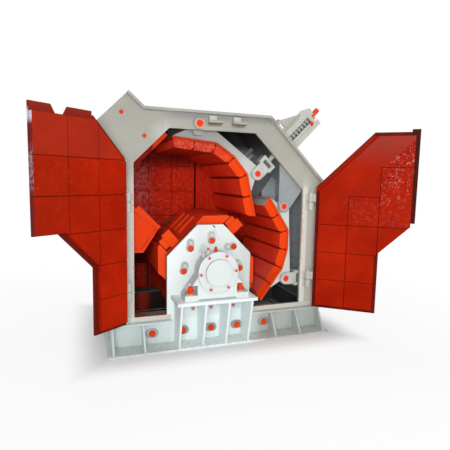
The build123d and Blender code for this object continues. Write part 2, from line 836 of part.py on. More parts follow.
# Adjusting rods, each with its eye, yoke, washer and nut, and the spring boxes outside the wall
def adjuster(pin, angle, wall_at):
    at = lambda a, b: along(pin, angle, a, b)
    bar = lambda a0, a1, half: [at(a0, -half), at(a1, -half), at(a1, half), at(a0, half)]
    y = front(rod_depth)
    eye = prism(bar(0, yoke_start, eye_radius), front(eye_near), front(eye_far))
    eye += disc(pin, eye_radius, front(eye_near), front(eye_far))
    eye -= disc(pin, rod_pin_radius + running_fit, front(eye_near), front(eye_far))
    y0, y1 = y - yoke_depth / 2, y + yoke_depth / 2
    yoke = prism(bar(yoke_start, yoke_end, yoke_half), y0, y1)
    yoke -= prism(bar(yoke_start + yoke_slot_margin, yoke_end - yoke_slot_margin, yoke_slot_half), y0, y1)
    washer_at = wall_at + box_end_at + box_end_plate + washer_gap
    nut_at = washer_at + washer_plate
    shank = rod(at(yoke_end, 0), y, angle, rod_radius, nut_at + nut_height + rod_tail - yoke_end)
    shank += rod(at(washer_at, 0), y, angle, washer_radius, washer_plate)
    shank += hexagon(at(nut_at, 0), y, angle, nut_radius, nut_height)
    return eye + yoke + shank


def spring_box(pin, angle, wall_at):
    at = lambda a, b: along(pin, angle, a, b)
    bar = lambda a0, a1, b0, b1: [at(a0, b0), at(a1, b0), at(a1, b1), at(a0, b1)]
    y = front(rod_depth)
    y0, y1 = y - box_depth / 2, y + box_depth / 2
    end, lid_in = wall_at + box_length, wall_at + box_end_at
    lid_out, inside = lid_in + box_end_plate, box_half - box_plate
    shell = prism(bar(lid_in, lid_out, -inside, inside), y0, y1)
    shell -= rod(at(lid_in, 0), y, angle, box_end_bore, box_end_plate)
    for side in (-1, 1):
        shell += prism(bar(wall_at, end, side * inside, side * box_half), y0, y1)
        lip = bar(wall_at, end, side * (box_half - box_flange), side * inside)
        shell += prism(lip, y0, y0 + box_plate) + prism(lip, y1 - box_plate, y1)
        tie_y, tie_b = y + side * tie_depth, side * tie_offset
        shell += rod(at(wall_at, tie_b), tie_y, angle, tie_radius, box_end_at + box_end_plate)
        shell += hexagon(at(lid_in - tie_nut_height, tie_b), tie_y, angle, tie_nut_radius, tie_nut_height)
    web0, web1 = y - gusset_plate / 2, y + gusset_plate / 2
    gusset = prism([at(wall_at, box_half), at(wall_at + gusset_length, box_half),
                    at(wall_at, box_half + gusset_height)], web0, web1)
    window = box_half + gusset_window_set
    gusset -= prism(bar(wall_at + gusset_window_set, wall_at + gusset_window_set + gusset_window, window,
                        window + gusset_window), web0, web1)
    return shell + gusset


def spring(pin, angle, wall_at):
    foot = along(pin, angle, wall_at, 0)
    coil = rod(foot, front(rod_depth), angle, spring_outer, box_end_at)
    return coil - rod(foot, front(rod_depth), angle, spring_inner, box_end_at)


upper_wall_at = math.dist(upper_rod_pin, crossing(upper_rod_pin, lane_way, roof_end, way(slope_heading)))
lower_wall_at = housing_right - lower_rod_pin[0]
keep_pair("upper_rods", adjuster(upper_rod_pin, upper_rod_heading, upper_wall_at))
keep_pair("lower_rods", adjuster(lower_rod_pin, lower_rod_heading, lower_wall_at))
keep_pair("upper_spring_boxes", spring_box(upper_rod_pin, upper_rod_heading, upper_wall_at))
keep_pair("lower_spring_boxes", spring_box(lower_rod_pin, lower_rod_heading, lower_wall_at))
keep_pair("upper_springs", spring(upper_rod_pin, upper_rod_heading, upper_wall_at))
keep_pair("lower_springs", spring(lower_rod_pin, lower_rod_heading, lower_wall_at))
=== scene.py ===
import math
import bpy
from mathutils import Vector, Matrix


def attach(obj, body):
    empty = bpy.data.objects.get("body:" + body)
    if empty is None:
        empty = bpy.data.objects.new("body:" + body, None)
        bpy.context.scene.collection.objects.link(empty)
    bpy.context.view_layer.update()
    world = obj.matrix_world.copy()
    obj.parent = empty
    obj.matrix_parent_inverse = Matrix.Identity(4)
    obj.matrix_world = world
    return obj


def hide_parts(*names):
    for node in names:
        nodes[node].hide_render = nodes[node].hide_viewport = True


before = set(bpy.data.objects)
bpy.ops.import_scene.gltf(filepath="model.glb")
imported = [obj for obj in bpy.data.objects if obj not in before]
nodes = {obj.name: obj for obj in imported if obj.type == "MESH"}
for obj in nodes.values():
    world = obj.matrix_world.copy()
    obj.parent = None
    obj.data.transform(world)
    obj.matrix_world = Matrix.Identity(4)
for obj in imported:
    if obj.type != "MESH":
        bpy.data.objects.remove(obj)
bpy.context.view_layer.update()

print("frame loaded:", len(nodes), "nodes")

face = -0.535  # outside of the front frame plate
axis = (-0.14, 0.745)  # of the rotor, in x and z
leftPin, rightPin = (-0.94, -0.575, 0), (0.957, -0.575, 0)  # of the doors
upperRod, lowerRod = (0.372, 0, 1.672), (0.739, 0, 0.557)  # pins of the adjusting rods
upperPivot, lowerPivot = (-0.268, 0, 2.13), (0.684, 0, 1.337)  # of the aprons
chamber = (0.05, 0.0, 1.2)  # middle of the crushing chamber
toFront = (math.pi / 2, 0, 0)  # turns a piece that is modelled along +Z to face the door side
hair = 1e-5  # tolerance when points are picked by height


# modelling helpers

def unpick():
    bpy.ops.object.select_all(action="DESELECT")


def pickOnly(piece):
    unpick()
    piece.select_set(True)
    bpy.context.view_layer.objects.active = piece


def edit():
    bpy.ops.object.mode_set(mode="EDIT")


def leave():
    bpy.ops.object.mode_set(mode="OBJECT")


def named(name):  # the primitive just added, with its place and size put into its mesh
    piece = bpy.context.object
    piece.name = name
    bpy.ops.object.transform_apply(location=True, rotation=True, scale=True)
    return piece


def cylinder(name, radius, depth, sides=32, base=0.0, fill="NGON"):
    unpick()
    bpy.ops.mesh.primitive_cylinder_add(vertices=sides, radius=radius, depth=depth,
                                        location=(0, 0, base + depth / 2), end_fill_type=fill)
    return named(name)


def slab(name, low, high):
    unpick()
    bpy.ops.mesh.primitive_cube_add(size=1, location=[(a + b) / 2 for a, b in zip(low, high)])
    bpy.context.object.scale = [b - a for a, b in zip(low, high)]
    return named(name)


def pick(piece, kind, elements, test):  # leaves edit mode on, with what passes picked
    pickOnly(piece)
    edit()
    bpy.ops.mesh.select_mode(type=kind)
    bpy.ops.mesh.select_all(action="DESELECT")
    leave()
    for element in elements:
        element.select = test(element)
    edit()


def pickFaces(piece, test):
    pick(piece, "FACE", piece.data.polygons, lambda side: test(side.center, side.normal))


def pickEdges(piece, test):
    points = piece.data.vertices
    pick(piece, "EDGE", piece.data.edges, lambda edge: test(*(points[i].co for i in edge.vertices)))


def pickPoints(piece, test):
    pick(piece, "VERT", piece.data.vertices, lambda point: test(point.co))


def shift(piece, test, offset):  # the points that pass
    pickPoints(piece, test)
    bpy.ops.transform.translate(value=offset)
    leave()


def swell(piece, test, size, centre=(0, 0, 0)):
    pickPoints(piece, test)
    bpy.ops.transform.resize(value=size, center_override=centre)
    leave()


def roundEdges(piece, test, offset, segments=2):
    pickEdges(piece, test)
    bpy.ops.mesh.bevel(offset=offset, segments=segments, affect="EDGES")
    leave()


def pull(rise, size):  # extrude what is picked, then scale its new end
    bpy.ops.mesh.extrude_region_move(TRANSFORM_OT_translate={"value": (0, 0, rise)})
    bpy.ops.transform.resize(value=(size, size, 1), center_override=(0, 0, 0))


def top(height):
    return lambda centre, normal: normal.z > 0.9 and centre.z > height - hair


def stepped(name, radius, height, sides, steps, base=0.0):  # a cylinder drawn up from its top
    piece = cylinder(name, radius, height, sides, base)
    pickFaces(piece, top(base + height))
    for rise, size in steps:
        pull(rise, size)
    leave()
    return piece


def dome(name, radius, height, sides=24, base=0.0):
    steps = [(height * rise, size) for rise, size in ((0.28, 0.86), (0.2, 0.72), (0.12, 0.45))]
    return stepped(name, radius, height * 0.4, sides, steps, base)


def hexNut(name, radius, height, base=0.0):
    return stepped(name, radius, height * 0.86, 6, [(height * 0.14, 0.86)], base)


def carve(piece, tool, operation="DIFFERENCE"):
    pickOnly(piece)
    cut = piece.modifiers.new("cut", "BOOLEAN")
    cut.operation, cut.object, cut.solver = operation, tool, "EXACT"
    bpy.ops.object.modifier_apply(modifier="cut")
    bpy.data.objects.remove(tool)


def repeat(piece, pitch, count):
    pickOnly(piece)
    array = piece.modifiers.new("array", "ARRAY")
    array.use_relative_offset, array.use_constant_offset = False, True
    array.constant_offset_displace, array.count = (0, 0, pitch), count
    bpy.ops.object.modifier_apply(modifier="array")


def settle(piece, place=(0, 0, 0), turn=(0, 0, 0), size=(1, 1, 1)):
    pickOnly(piece)
    piece.location, piece.rotation_euler, piece.scale = place, turn, size
    bpy.ops.object.transform_apply(location=True, rotation=True, scale=True)
    return piece


def twin(piece, place=(0, 0, 0), turn=(0, 0, 0), size=(1, 1, 1)):
    copy = piece.copy()
    copy.data = piece.data.copy()
    bpy.context.collection.objects.link(copy)
    return settle(copy, place, turn, size)


def merge(pieces, name):
    unpick()
    for piece in pieces:
        piece.select_set(True)
    bpy.context.view_layer.objects.active = pieces[0]
    if len(pieces) > 1:
        bpy.ops.object.join()
    pieces[0].name = pieces[0].data.name = name
    return pieces[0]


def alsoBehind(piece):  # the same on the drive side
    copy = twin(piece, size=(1, -1, 1))
    pickOnly(copy)
    edit()
    bpy.ops.mesh.select_all(action="SELECT")
    bpy.ops.mesh.normals_make_consistent(inside=False)
    leave()
    return merge([piece, copy], piece.name)


def finishPiece(piece, paint, body, angle=35):
    piece.data.materials.clear()
    piece.data.materials.append(paint)
    pickOnly(piece)
    bpy.ops.object.shade_smooth_by_angle(angle=math.radians(angle))
    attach(piece, body)
    return piece


def onBoth(piece, paint, angle=35):  # on the front and the back of the housing
    return finishPiece(alsoBehind(piece), paint, "housing", angle)


def fasten(model, spots, name, paint, angle=35):  # a copy of the model at each spot; the model goes
    made = [twin(model, place, turn) for place, turn in spots]
    bpy.data.objects.remove(model)
    return onBoth(merge(made, name), paint, angle)


# materials

class Value:  # a socket; sums and products of it are Math nodes
    def __init__(self, paint, socket):
        self.paint, self.socket = paint, socket

    def sum(self, operation, first, second=0.0):
        return self.paint.node("ShaderNodeMath", {"operation": operation}, {0: first, 1: second})

    def __add__(self, other):
        return self.sum("ADD", self, other)

    def __sub__(self, other):
        return self.sum("SUBTRACT", self, other)

    def __rsub__(self, other):
        return self.sum("SUBTRACT", other, self)

    def __mul__(self, other):
        return self.sum("MULTIPLY", self, other)

    def __truediv__(self, other):
        return self.sum("DIVIDE", self, other)

    def __gt__(self, other):
        return self.sum("GREATER_THAN", self, other)

    def __lt__(self, other):
        return self.sum("LESS_THAN", self, other)

    def __abs__(self):
        return self.sum("ABSOLUTE", self)

    __radd__ = __add__
    __rmul__ = __mul__


class Paint:
    def __init__(self, name):
        self.material = bpy.data.materials.new(name)
        self.material.use_nodes = True
        self.tree = self.material.node_tree
        self.shader = self.tree.nodes["Principled BSDF"]
        self.place = self.node("ShaderNodeTexCoord", {}, {}, "Object")
        self.facing = self.node("ShaderNodeTexCoord", {}, {}, "Normal")
        self.x, self.y, self.z = (self.part(self.place, i) for i in range(3))
        self.nx, self.ny, self.nz = (self.part(self.facing, i) for i in range(3))
        self.front = self.ease(abs(self.ny), 0.85, 0.97)
        self.upward = self.ease(self.nz, 0.6, 0.95)

    def node(self, kind, settings, sockets, out=0):
        made = self.tree.nodes.new(kind)
        for key, value in settings.items():
            setattr(made, key, value)
        for key, value in sockets.items():
            if isinstance(value, Value):
                self.tree.links.new(value.socket, made.inputs[key])
            else:
                made.inputs[key].default_value = value
        return Value(self, made.outputs[out])

    def vector(self, operation, first, second, out=0):
        return self.node("ShaderNodeVectorMath", {"operation": operation}, {0: first, 1: second}, out)

    def noise(self, scale, detail=3.0, rough=0.55, stretch=None):
        place = self.vector("MULTIPLY", self.place, stretch) if stretch else self.place
        return self.node("ShaderNodeTexNoise", {}, {"Vector": place, "Scale": scale, "Detail": detail,
                                                   "Roughness": rough})

    def ease(self, value, low, high, last=1.0, first=0.0):
        return self.node("ShaderNodeMapRange", {"interpolation_type": "SMOOTHSTEP"},
                         {0: value, 1: low, 2: high, 3: first, 4: last})

    def fade(self, value, low, high, first=1.0):
        return self.ease(value, low, high, 0.0, first)

    def band(self, value, low, high, soft=0.004):
        return self.ease(value, low - soft, low + soft) * self.fade(value, high - soft, high + soft)

    def mix(self, mask, under, over):
        def colour(value):
            return value if isinstance(value, Value) else (*value, 1)
        return self.node("ShaderNodeMix", {"data_type": "RGBA"}, {0: mask, 6: colour(under), 7: colour(over)}, 2)

    def over(self, mask, colour):  # one more layer of colour, where the mask is
        self.colour = self.mix(mask, self.colour, colour)

    def part(self, vector, i):
        return self.node("ShaderNodeSeparateXYZ", {}, {0: vector}, i)

    def floor(self, value):
        return value.sum("FLOOR", value)

    def along(self, vector, way, start=(0, 0, 0)):  # how far a point lies from the start along a way
        return self.vector("DOT_PRODUCT", vector, way, "Value") - Vector(start).dot(Vector(way))

    def away(self, x, z):  # how far a point lies from a line across the machine
        flat = self.node("ShaderNodeCombineXYZ", {}, {0: self.x, 2: self.z})
        return self.vector("DISTANCE", flat, (x, 0, z), "Value")

    def glints(self, scale, stretch=None):  # painted highlights: short pale glints along wrinkles in thick paint
        line = self.fade(abs(self.noise(scale, 2, 0.5, stretch) - 0.5), 0.004, 0.022)
        return line * self.ease(self.noise(scale * 0.6, 3, 0.6), 0.5, 0.58)

    def edges(self, radius):  # 1 along edges, from how far a bevel would turn the surface
        self.bevel = self.node("ShaderNodeBevel", {"samples": 4}, {"Radius": radius})
        flat = self.node("ShaderNodeNewGeometry", {}, {}, "Normal")
        return self.ease(1 - self.vector("DOT_PRODUCT", self.bevel, flat, "Value"), 0.01, 0.16)

    def bump(self, height, strength, distance):
        return self.node("ShaderNodeBump", {}, {"Height": height, "Strength": strength, "Distance": distance,
                                                "Normal": self.bevel})

    def finish(self, rough, normal, **fixed):
        for key, value in (("Base Color", self.colour), ("Roughness", rough), ("Normal", normal)):
            self.tree.links.new(value.socket, self.shader.inputs[key])
        for key, value in fixed.items():
            self.shader.inputs[key.replace("_", " ")].default_value = value
        return self.material


def whitePaint(name, look):
    paint = Paint(name)
    edge = paint.edges(look.get("edge", 0.004))
    broad, paint.fine = paint.noise(1.7, 4), paint.noise(26, 5, 0.62)
    paint.colour = paint.mix(paint.ease(broad, 0.35, 0.7), look["light"], look["dull"])
    runs = paint.ease(paint.noise(5, 5, 0.6, (1, 1, 0.09)), 0.52, 0.78)
    paint.over(runs * look["runs"], look["dirt"])
    paint.over(paint.ease(paint.fine, 0.5, 0.75) * look["grime"], look["dirt"])
    dust = paint.upward * paint.ease(paint.noise(9, 5, 0.65), 0.32, 0.68) * look["dust"]
    paint.over(dust, look.get("dustColour", (0.46, 0.39, 0.29)))
    worn = edge * paint.ease(paint.noise(70, 4, 0.7), 0.58, 0.68)
    paint.over(worn * look.get("chips", 0.25), (0.42, 0.16, 0.09))
    # painted edge light: a rim colour paler than the paint paints highlights along the edges, a darker one paints
    # shade around them
    paint.over(edge * look.get("rimmed", 0.2), look["rim"])
    for marks in look.get("marks", ()):
        marks(paint)
    rough = 0.42 + 0.22 * paint.fine + dust * 0.3
    peel = paint.noise(240, 2) * 0.12 + paint.noise(7, 3) * 0.7 + paint.fine * 0.2
    return paint.finish(rough, paint.bump(peel, look.get("peel", 0.16), 0.004), Specular_IOR_Level=0.3,
                        Coat_Weight=0.08, Coat_Roughness=0.3)


def bareInside(paint):  # bare steel on the faces towards the chamber, with plate joints, painted shade under the roof, towards the inlet and low down, and lighter on the far plate
    x, z = paint.x, paint.z
    towards = paint.vector("DOT_PRODUCT", paint.facing, paint.vector("SUBTRACT", paint.place, chamber), "Value")
    inside = (towards < -0.05) * (abs(paint.y) < 0.506)
    bare = paint.mix(paint.ease(paint.fine, 0.3, 0.7), (0.58, 0.74, 0.76), (0.68, 0.86, 0.88))
    gap = paint.node("ShaderNodeMath", {"operation": "PINGPONG"}, {0: z - 0.69, 1: 0.0885})
    joint = paint.fade(gap, 0.002, 0.005, 0.4) * (paint.nx < -0.9)
    bare = paint.mix(joint, bare, (0.04, 0.04, 0.04))
    # painted shade: darker under the roof, towards the inlet and low down
    shaded = paint.ease(z, 1.75, 2.05) + paint.fade(x, -0.9, -0.5)
    shaded = shaded + paint.fade(z, 0.3, 0.48) * paint.ease(x, 0.1, 0.3, 0.85, 1.0)
    paintedShade = paint.mix(paint.ease(x, 0.3, 0.5), (0.025, 0.024, 0.022), (0.055, 0.056, 0.054))
    bare = paint.mix(shaded, bare, paintedShade)
    far = paint.fade(paint.ny, -0.9, -0.7) * (paint.y > 0.4) * paint.ease(x, 0.4, 0.5)
    bare = paint.mix(far * (1 - shaded), bare, (0.95, 1.0, 1.0))
    paint.over(inside, bare)


def frameMarks(paint):  # door seat, dull and pale bars, a painted highlight and darker tone at the upper left, painted shadow under the eaves and below the latches, painted light on the sill bar, and overspray
    x, z, front = paint.x, paint.z, paint.front
    bar = front * (x > 0.882) * paint.fade(z, 1.5, 1.58) * (z > 0.3)
    paint.over(bar * paint.fade(x, 0.936, 0.944, 0.9), (0.9, 0.92, 0.86))  # door seat
    paint.over(bar * paint.ease(x, 0.95, 0.958) * 0.6, (0.5, 0.485, 0.39))
    posts = front * (abs(x) > 0.878) * paint.fade(z, 1.5, 1.75, 0.5)
    paint.over(posts, (0.74, 0.715, 0.64))
    # painted highlight: a soft pale patch near the upper left corner
    paint.over(front * paint.fade(paint.away(-0.62, 2.03), 0.02, 0.14, 0.35), (0.8, 0.8, 0.78))
    # painted shadow under the roof's edge
    eavesShadow = paint.ease(z, 2.13, 2.205, 0.7) * (z < 2.222) * paint.ease(x, -0.7, -0.5)
    paint.over(front * eavesShadow, (0.22, 0.23, 0.235))
    paint.over(front * (x < -0.6) * (z > 1.75) * 0.3, (0.33, 0.325, 0.28))
    for left in (-0.183, 0.063):  # painted shadow, brown, below the latches
        latchShadow = paint.band(x, left, left + 0.14, 0.02) * paint.band(z, 2.113, 2.14, 0.008)
        paint.over(front * latchShadow * paint.ease(paint.fine, 0.3, 0.6, 0.9, 0.5), (0.2, 0.14, 0.08))
    sillBar = front * (z < 0.296)
    paint.over(sillBar * 0.8, (0.72, 0.72, 0.64))
    # painted light on the sill bar between the pedestal ribs, as on the base web
    paint.over(sillBar * paint.band(x, -0.53, 0.25, 0.01) * 0.9, (0.84, 0.92, 0.91))
    specks = paint.ease(paint.noise(60, 4, 0.7), 0.48, 0.62)
    line = paint.fade(abs(abs(x) - 0.887), 0.004, 0.012) * paint.band(z, 0.6, 1.5, 0.1)
    paint.over(front * line * specks * 0.8, (0.72, 0.1, 0.04))  # red overspray
    sill = (paint.nz > 0.8) * paint.band(z, 0.28, 0.31) * paint.fade(x, 0.4, 0.5)
    paint.over(sill, (0.7, 0.05, 0.012))


def baseMarks(paint):  # darker towards both ends, bluish painted light in the middle, dirt at the floor, painted shade inside with a patch of painted red light
    x, y = paint.x, paint.y
    paint.over(paint.fade(x, -0.75, -0.55, 0.7), (0.52, 0.6, 0.59))
    paint.over(paint.ease(x, 0.3, 0.45, 0.8), (0.46, 0.49, 0.46))
    # painted light on the web between the pedestal ribs
    paint.over(paint.band(x, -0.5, 0.25, 0.06) * 0.8, (0.9, 1.0, 1.0))
    low = paint.fade(paint.z, 0.015, 0.09) * paint.ease(paint.fine, 0.4, 0.75) * 0.35
    paint.over(low, (0.44, 0.36, 0.26))
    across, over = paint.nx * x, paint.ny * y
    inner = ((across < -0.6) + (over < -0.3)) * (abs(y) < 0.52)
    # painted shade on the inner faces, with a patch of painted red light on the far side
    glow = paint.band(x, -0.73, -0.6, 0.06) * (y > 0)
    inside = paint.mix(glow, (0.016, 0.006, 0.005), (0.55, 0.03, 0.008))
    inside = paint.mix(paint.ease(x, 0.1, 0.4), inside, (0.075, 0.08, 0.09))
    paint.over(inner, inside)


def shieldMarks(paint):  # painted light on the shield's left, painted shade on its right, a seam's arc and a slot near the top
    x = paint.x
    plain = paint.front * (abs(paint.y) < 0.56)
    # painted light on the left of the shield, painted shade on its right
    paint.over(plain * paint.fade(x, -0.4, -0.2, 0.75), (0.91, 1.0, 1.0))
    paint.over(plain * paint.ease(x, 0.1, 0.25, 0.8), (0.62, 0.7, 0.67))
    seam = paint.fade(abs(paint.away(-0.264, 0.992) - 0.207), 0.0015, 0.004)
    seam = seam * paint.band(paint.z, 1.0, 1.131) * (x > -0.12)
    paint.over(plain * seam * 0.55, (0.42, 0.43, 0.42))
    place = (-0.105, 0, 1.147)
    slot = paint.fade(abs(paint.along(paint.place, (0.77, 0, -0.638), place)), 0.015, 0.019)
    slot = slot * paint.fade(abs(paint.along(paint.place, (0.638, 0, 0.77), place)), 0.004, 0.007)
    paint.over(plain * slot, (0.03, 0.03, 0.03))


def flankShadeMarks(paint):  # painted shade, greyer, on the flanks and pockets of the bearing bodies
    shadedFlank = paint.ease(abs(paint.nx), 0.3, 0.6)
    paint.over(shadedFlank * 0.75, (0.44, 0.49, 0.51))


def apronMarks(paint):  # painted shade on the upper apron's plates under the roof; the lower apron's plates are lighter
    paint.over(paint.ease(paint.z, 1.7, 2.05, 0.75), (0.26, 0.26, 0.235))
    paint.over(paint.fade(paint.z, 1.2, 1.4, 0.5), (0.72, 0.78, 0.72))


def sideShadeMarks(paint):  # painted shade on the side faces around the rims of the covers
    paint.over((1 - paint.front) * 0.8, (0.36, 0.4, 0.42))


def latchMarks(paint):  # painted shade, brown, under the latch shelves and along the foot of their fronts; the tabs are lighter
    under = paint.fade(paint.nz, -0.9, -0.6, 0.9)
    paint.over(paint.front * (paint.z > 2.166), (0.6, 0.59, 0.53))
    paint.over(paint.front * paint.fade(paint.z, 2.141, 2.147, 0.85), (0.22, 0.15, 0.09))
    paint.over(under, (0.12, 0.075, 0.045))


def boxMarks(pin, angle, lid):  # painted shade inside the spring boxes, and grey painted shade on the set-back gussets
    def mark(paint):
        way = Vector((math.cos(math.radians(angle)), 0, math.sin(math.radians(angle))))
        across = abs(paint.along(paint.place, (-way.z, 0, way.x), pin))
        inside = (across < 0.087) * (paint.along(paint.place, way, pin) < lid)
        inside = inside * (abs(paint.y) < 0.514) * (abs(paint.y) > 0.366)
        paint.over(inside * 0.93, (0.03, 0.03, 0.032))
        paint.over((across > 0.102) * 0.8, (0.45, 0.46, 0.41))
    return mark


def redPaint(name, look):
    paint = Paint(name)
    edge = paint.edges(look.get("edge", 0.005))
    broad, paint.fine = paint.noise(3.1, 4, 0.6), paint.noise(34, 5, 0.62)
    paint.colour = paint.mix(paint.ease(broad, 0.3, 0.72), look["deep"], look["bright"])
    if "cell" in look:  # each tile was painted on its own
        pin, way, first, width = look["cell"]
        column = paint.floor((paint.along(paint.place, way, pin) - first) / width)
        row = paint.floor(paint.z.sum("MINIMUM", (paint.z - 0.296) / 0.29, 5.9))
        spot = paint.node("ShaderNodeCombineXYZ", {}, {0: column, 1: row, 2: 0.7})
        tileTint = paint.node("ShaderNodeTexWhiteNoise", {}, {"Vector": spot}, "Value")
        paint.over(tileTint * 0.5, look["deep"])
    strokes = paint.noise(9, 6, 0.6, look.get("stroke", (1, 1, 7)))
    paint.over(paint.ease(strokes, 0.55, 0.75) * 0.25, look["bright"])
    paint.over(paint.ease(paint.fine, 0.62, 0.8) * 0.3, (0.1, 0.004, 0.002))
    if "ends" in look:  # brighter orange on the faces towards the doors
        paint.over(paint.front * (0.75 + 0.25 * paint.fine), look["ends"])
    paint.over(edge * look.get("joint", 0.0), (0.05, 0.003, 0.002))
    # worn paint along the edges, which also stands in for thin painted highlights on the rims
    worn = edge * paint.ease(paint.noise(22, 4, 0.7), 0.45, 0.65)
    paint.over(worn * look.get("worn", 0.5), look.get("rim", (0.72, 0.09, 0.035)))
    # pinkish on faces that face up: dust, and a painted sheen of the sky
    paint.over(paint.upward * paint.ease(paint.fine, 0.3, 0.7) * 0.55, (0.33, 0.09, 0.07))
    for marks in look.get("marks", ()):
        marks(paint)
    rough = 0.3 + 0.3 * paint.ease(paint.fine, 0.35, 0.75) + 0.12 * broad
    lumps = paint.noise(13, 3, 0.5) * look.get("lumps", 0.9) + strokes * 0.35 + paint.noise(120, 2) * 0.06
    return paint.finish(rough, paint.bump(lumps, look.get("relief", 0.35), 0.008), Specular_IOR_Level=0.02,
                        Coat_Weight=0.0, Coat_Roughness=0.12)


leftWay = (math.cos(math.radians(-145)), math.sin(math.radians(-145)), 0)  # from the pins along the open doors
rightWay = (-math.cos(math.radians(142)), -math.sin(math.radians(142)), 0)


def leftEdgeMarks(paint):  # the free end face of the left door is darker, with pale painted highlights in places
    free = paint.ease(paint.along(paint.facing, leftWay), 0.85, 0.97)
    free = free * (paint.along(paint.place, leftWay, leftPin) > 0.85)
    paint.over(free * 0.85, (0.17, 0.016, 0.016))
    spots = paint.band(paint.z, 1.52, 1.8, 0.06) * paint.ease(paint.fine, 0.4, 0.6) * 0.35
    paint.over(free * (paint.band(paint.z, 1.99, 2.07, 0.03) + spots), (0.72, 0.62, 0.72))


def lugMarks(paint):  # the lug above the left door is brighter
    paint.over((paint.z > 2.062) * (paint.x < -0.9) * 0.8, (0.28, 0.026, 0.015))


def leftTileMarks(paint):  # duller towards the free edge, painted highlights higher up, a browner top row
    reach = paint.along(paint.place, leftWay, leftPin)
    paint.over(paint.ease(reach, 0.2, 0.9) * 0.5, (0.27, 0.014, 0.003))
    # painted highlights on wrinkles, more of them higher up
    high = paint.ease(paint.z, 1.15, 1.6, 0.22, 0.05)
    paint.over(paint.glints(34, (1, 1, 0.6)) * high, (0.54, 0.12, 0.08))
    paint.over(paint.ease(paint.z, 1.72, 1.8, 0.4), (0.36, 0.036, 0.018))


def rightTileMarks(paint):  # a plain plate with a diagonal seam, a painted sheen above it towards the top, painted highlights of wet gloss on the free side
    z = paint.z
    reach = paint.along(paint.place, rightWay, rightPin)
    rise = z - 1.17 - 1.02 * (reach - 0.126)
    # painted sheen: a soft reflection towards the top, above the seam
    sheen = paint.ease(rise, -0.004, 0.004) * paint.ease(z, 1.7, 2.06)
    paint.over(sheen * 0.55, (0.34, 0.065, 0.05))
    seam = paint.fade(abs(rise), 0.003, 0.009) * (z > 1.18) * paint.ease(paint.noise(25), 0.3, 0.5)
    paint.over(seam * 0.08, (0.62, 0.1, 0.07))
    corner = (reach > 0.66) * paint.fade(rise, -0.01, 0.0) * (z > 1.757)
    column = (reach > 0.678) * paint.band(z, 1.18, 1.752) * paint.ease(z, 1.3, 1.6, 1.0, 0.2)
    glintArea = corner + column + paint.band(reach, 0.384, 0.672) * paint.band(z, 1.2, 1.455) * 0.25
    # painted highlights on the wet gloss
    paint.over(glintArea * paint.glints(46, (1, 1, 0.7)) * 0.7, (0.85, 0.6, 0.58))
    paint.over(glintArea * paint.ease(paint.noise(30, 4), 0.5, 0.65) * 0.4, (0.12, 0.006, 0.004))


def rearTileMarks(paint):  # painted highlights and sheen of wet gloss towards the inlet, painted shade above and below
    x, z = paint.x, paint.z
    glintArea = paint.ease(x, -0.7, -0.2, 0.3, 0.85) * paint.ease(paint.noise(4, 3), 0.35, 0.6, 1.0, 0.4)
    paint.over(paint.glints(30) * glintArea, (0.78, 0.34, 0.31))
    paint.over(paint.ease(paint.noise(26, 4), 0.5, 0.62) * 0.4, (0.12, 0.008, 0.006))
    # painted sheen, a reflection, towards the inlet
    sheen = paint.fade(x, -0.72, -0.5, 0.5) * paint.ease(paint.noise(18, 4), 0.35, 0.6) * (z > 0.9)
    paint.over(sheen, (0.75, 0.28, 0.29))
    # painted shade low down and along the top row, kept off the painted red light below the doors
    low = paint.fade(z, 0.75, 1.0, 0.95)
    low = low * (1 - paint.band(x, -0.74, -0.62, 0.05) * (z < 0.6))
    paint.over(paint.ease(z, 1.68, 1.86, 0.75) + low, (0.05, 0.006, 0.004))


def blockMarks(paint):  # painted shade on faces that look down, a painted sheen on the darker ends of the first blocks, darker ends low down, scuffs with a painted sheen on the last ones, dust on their tops
    x, z, front = paint.x, paint.z, paint.front
    # painted shade on the faces that look down
    under = paint.fade(paint.nz, -0.9, -0.75, 0.65)
    paint.over(under, (0.1, 0.006, 0.003))
    # darker end faces on the first upper blocks, mottled with a paler painted sheen
    early = front * paint.fade(x, -0.2, 0.2, 0.75) * (z > 1.3)
    paint.over(early, paint.mix(paint.ease(paint.fine, 0.4, 0.7), (0.46, 0.022, 0.012), (0.62, 0.16, 0.12)))
    paint.over(front * paint.fade(z, 0.55, 0.8, 0.75), (0.56, 0.03, 0.006))
    # scuffs and a painted sheen on the wear faces of the last blocks
    scuffAndSheen = (x > 0.3) * paint.fade(z, 0.4, 0.95, 0.45) * (1 - front)
    paint.over(scuffAndSheen, (0.55, 0.22, 0.19))
    dusty = paint.ease(paint.nz, 0.35, 0.6) * (x > 0.3) * (z > 1.275)
    paint.over(dusty * paint.ease(paint.fine, 0.25, 0.5, 0.95, 0.6), (0.56, 0.54, 0.51))


def chuteEndMarks(paint):  # the chute liner's end is bright
    paint.over(paint.band(paint.x, -0.7, -0.55, 0.02) * (paint.z > 1.85) * 0.8, (0.72, 0.046, 0.012))


def backingMarks(paint):  # duller over the upper apron, dust on the lower one's upper end
    paint.over(paint.fade(paint.x, 0.0, 0.15, 0.65), (0.36, 0.026, 0.013))
    paint.over((paint.x > 0.3) * (paint.z > 1.28) * (paint.z < 1.5) * (1 - paint.front) * 0.9, (0.5, 0.49, 0.46))


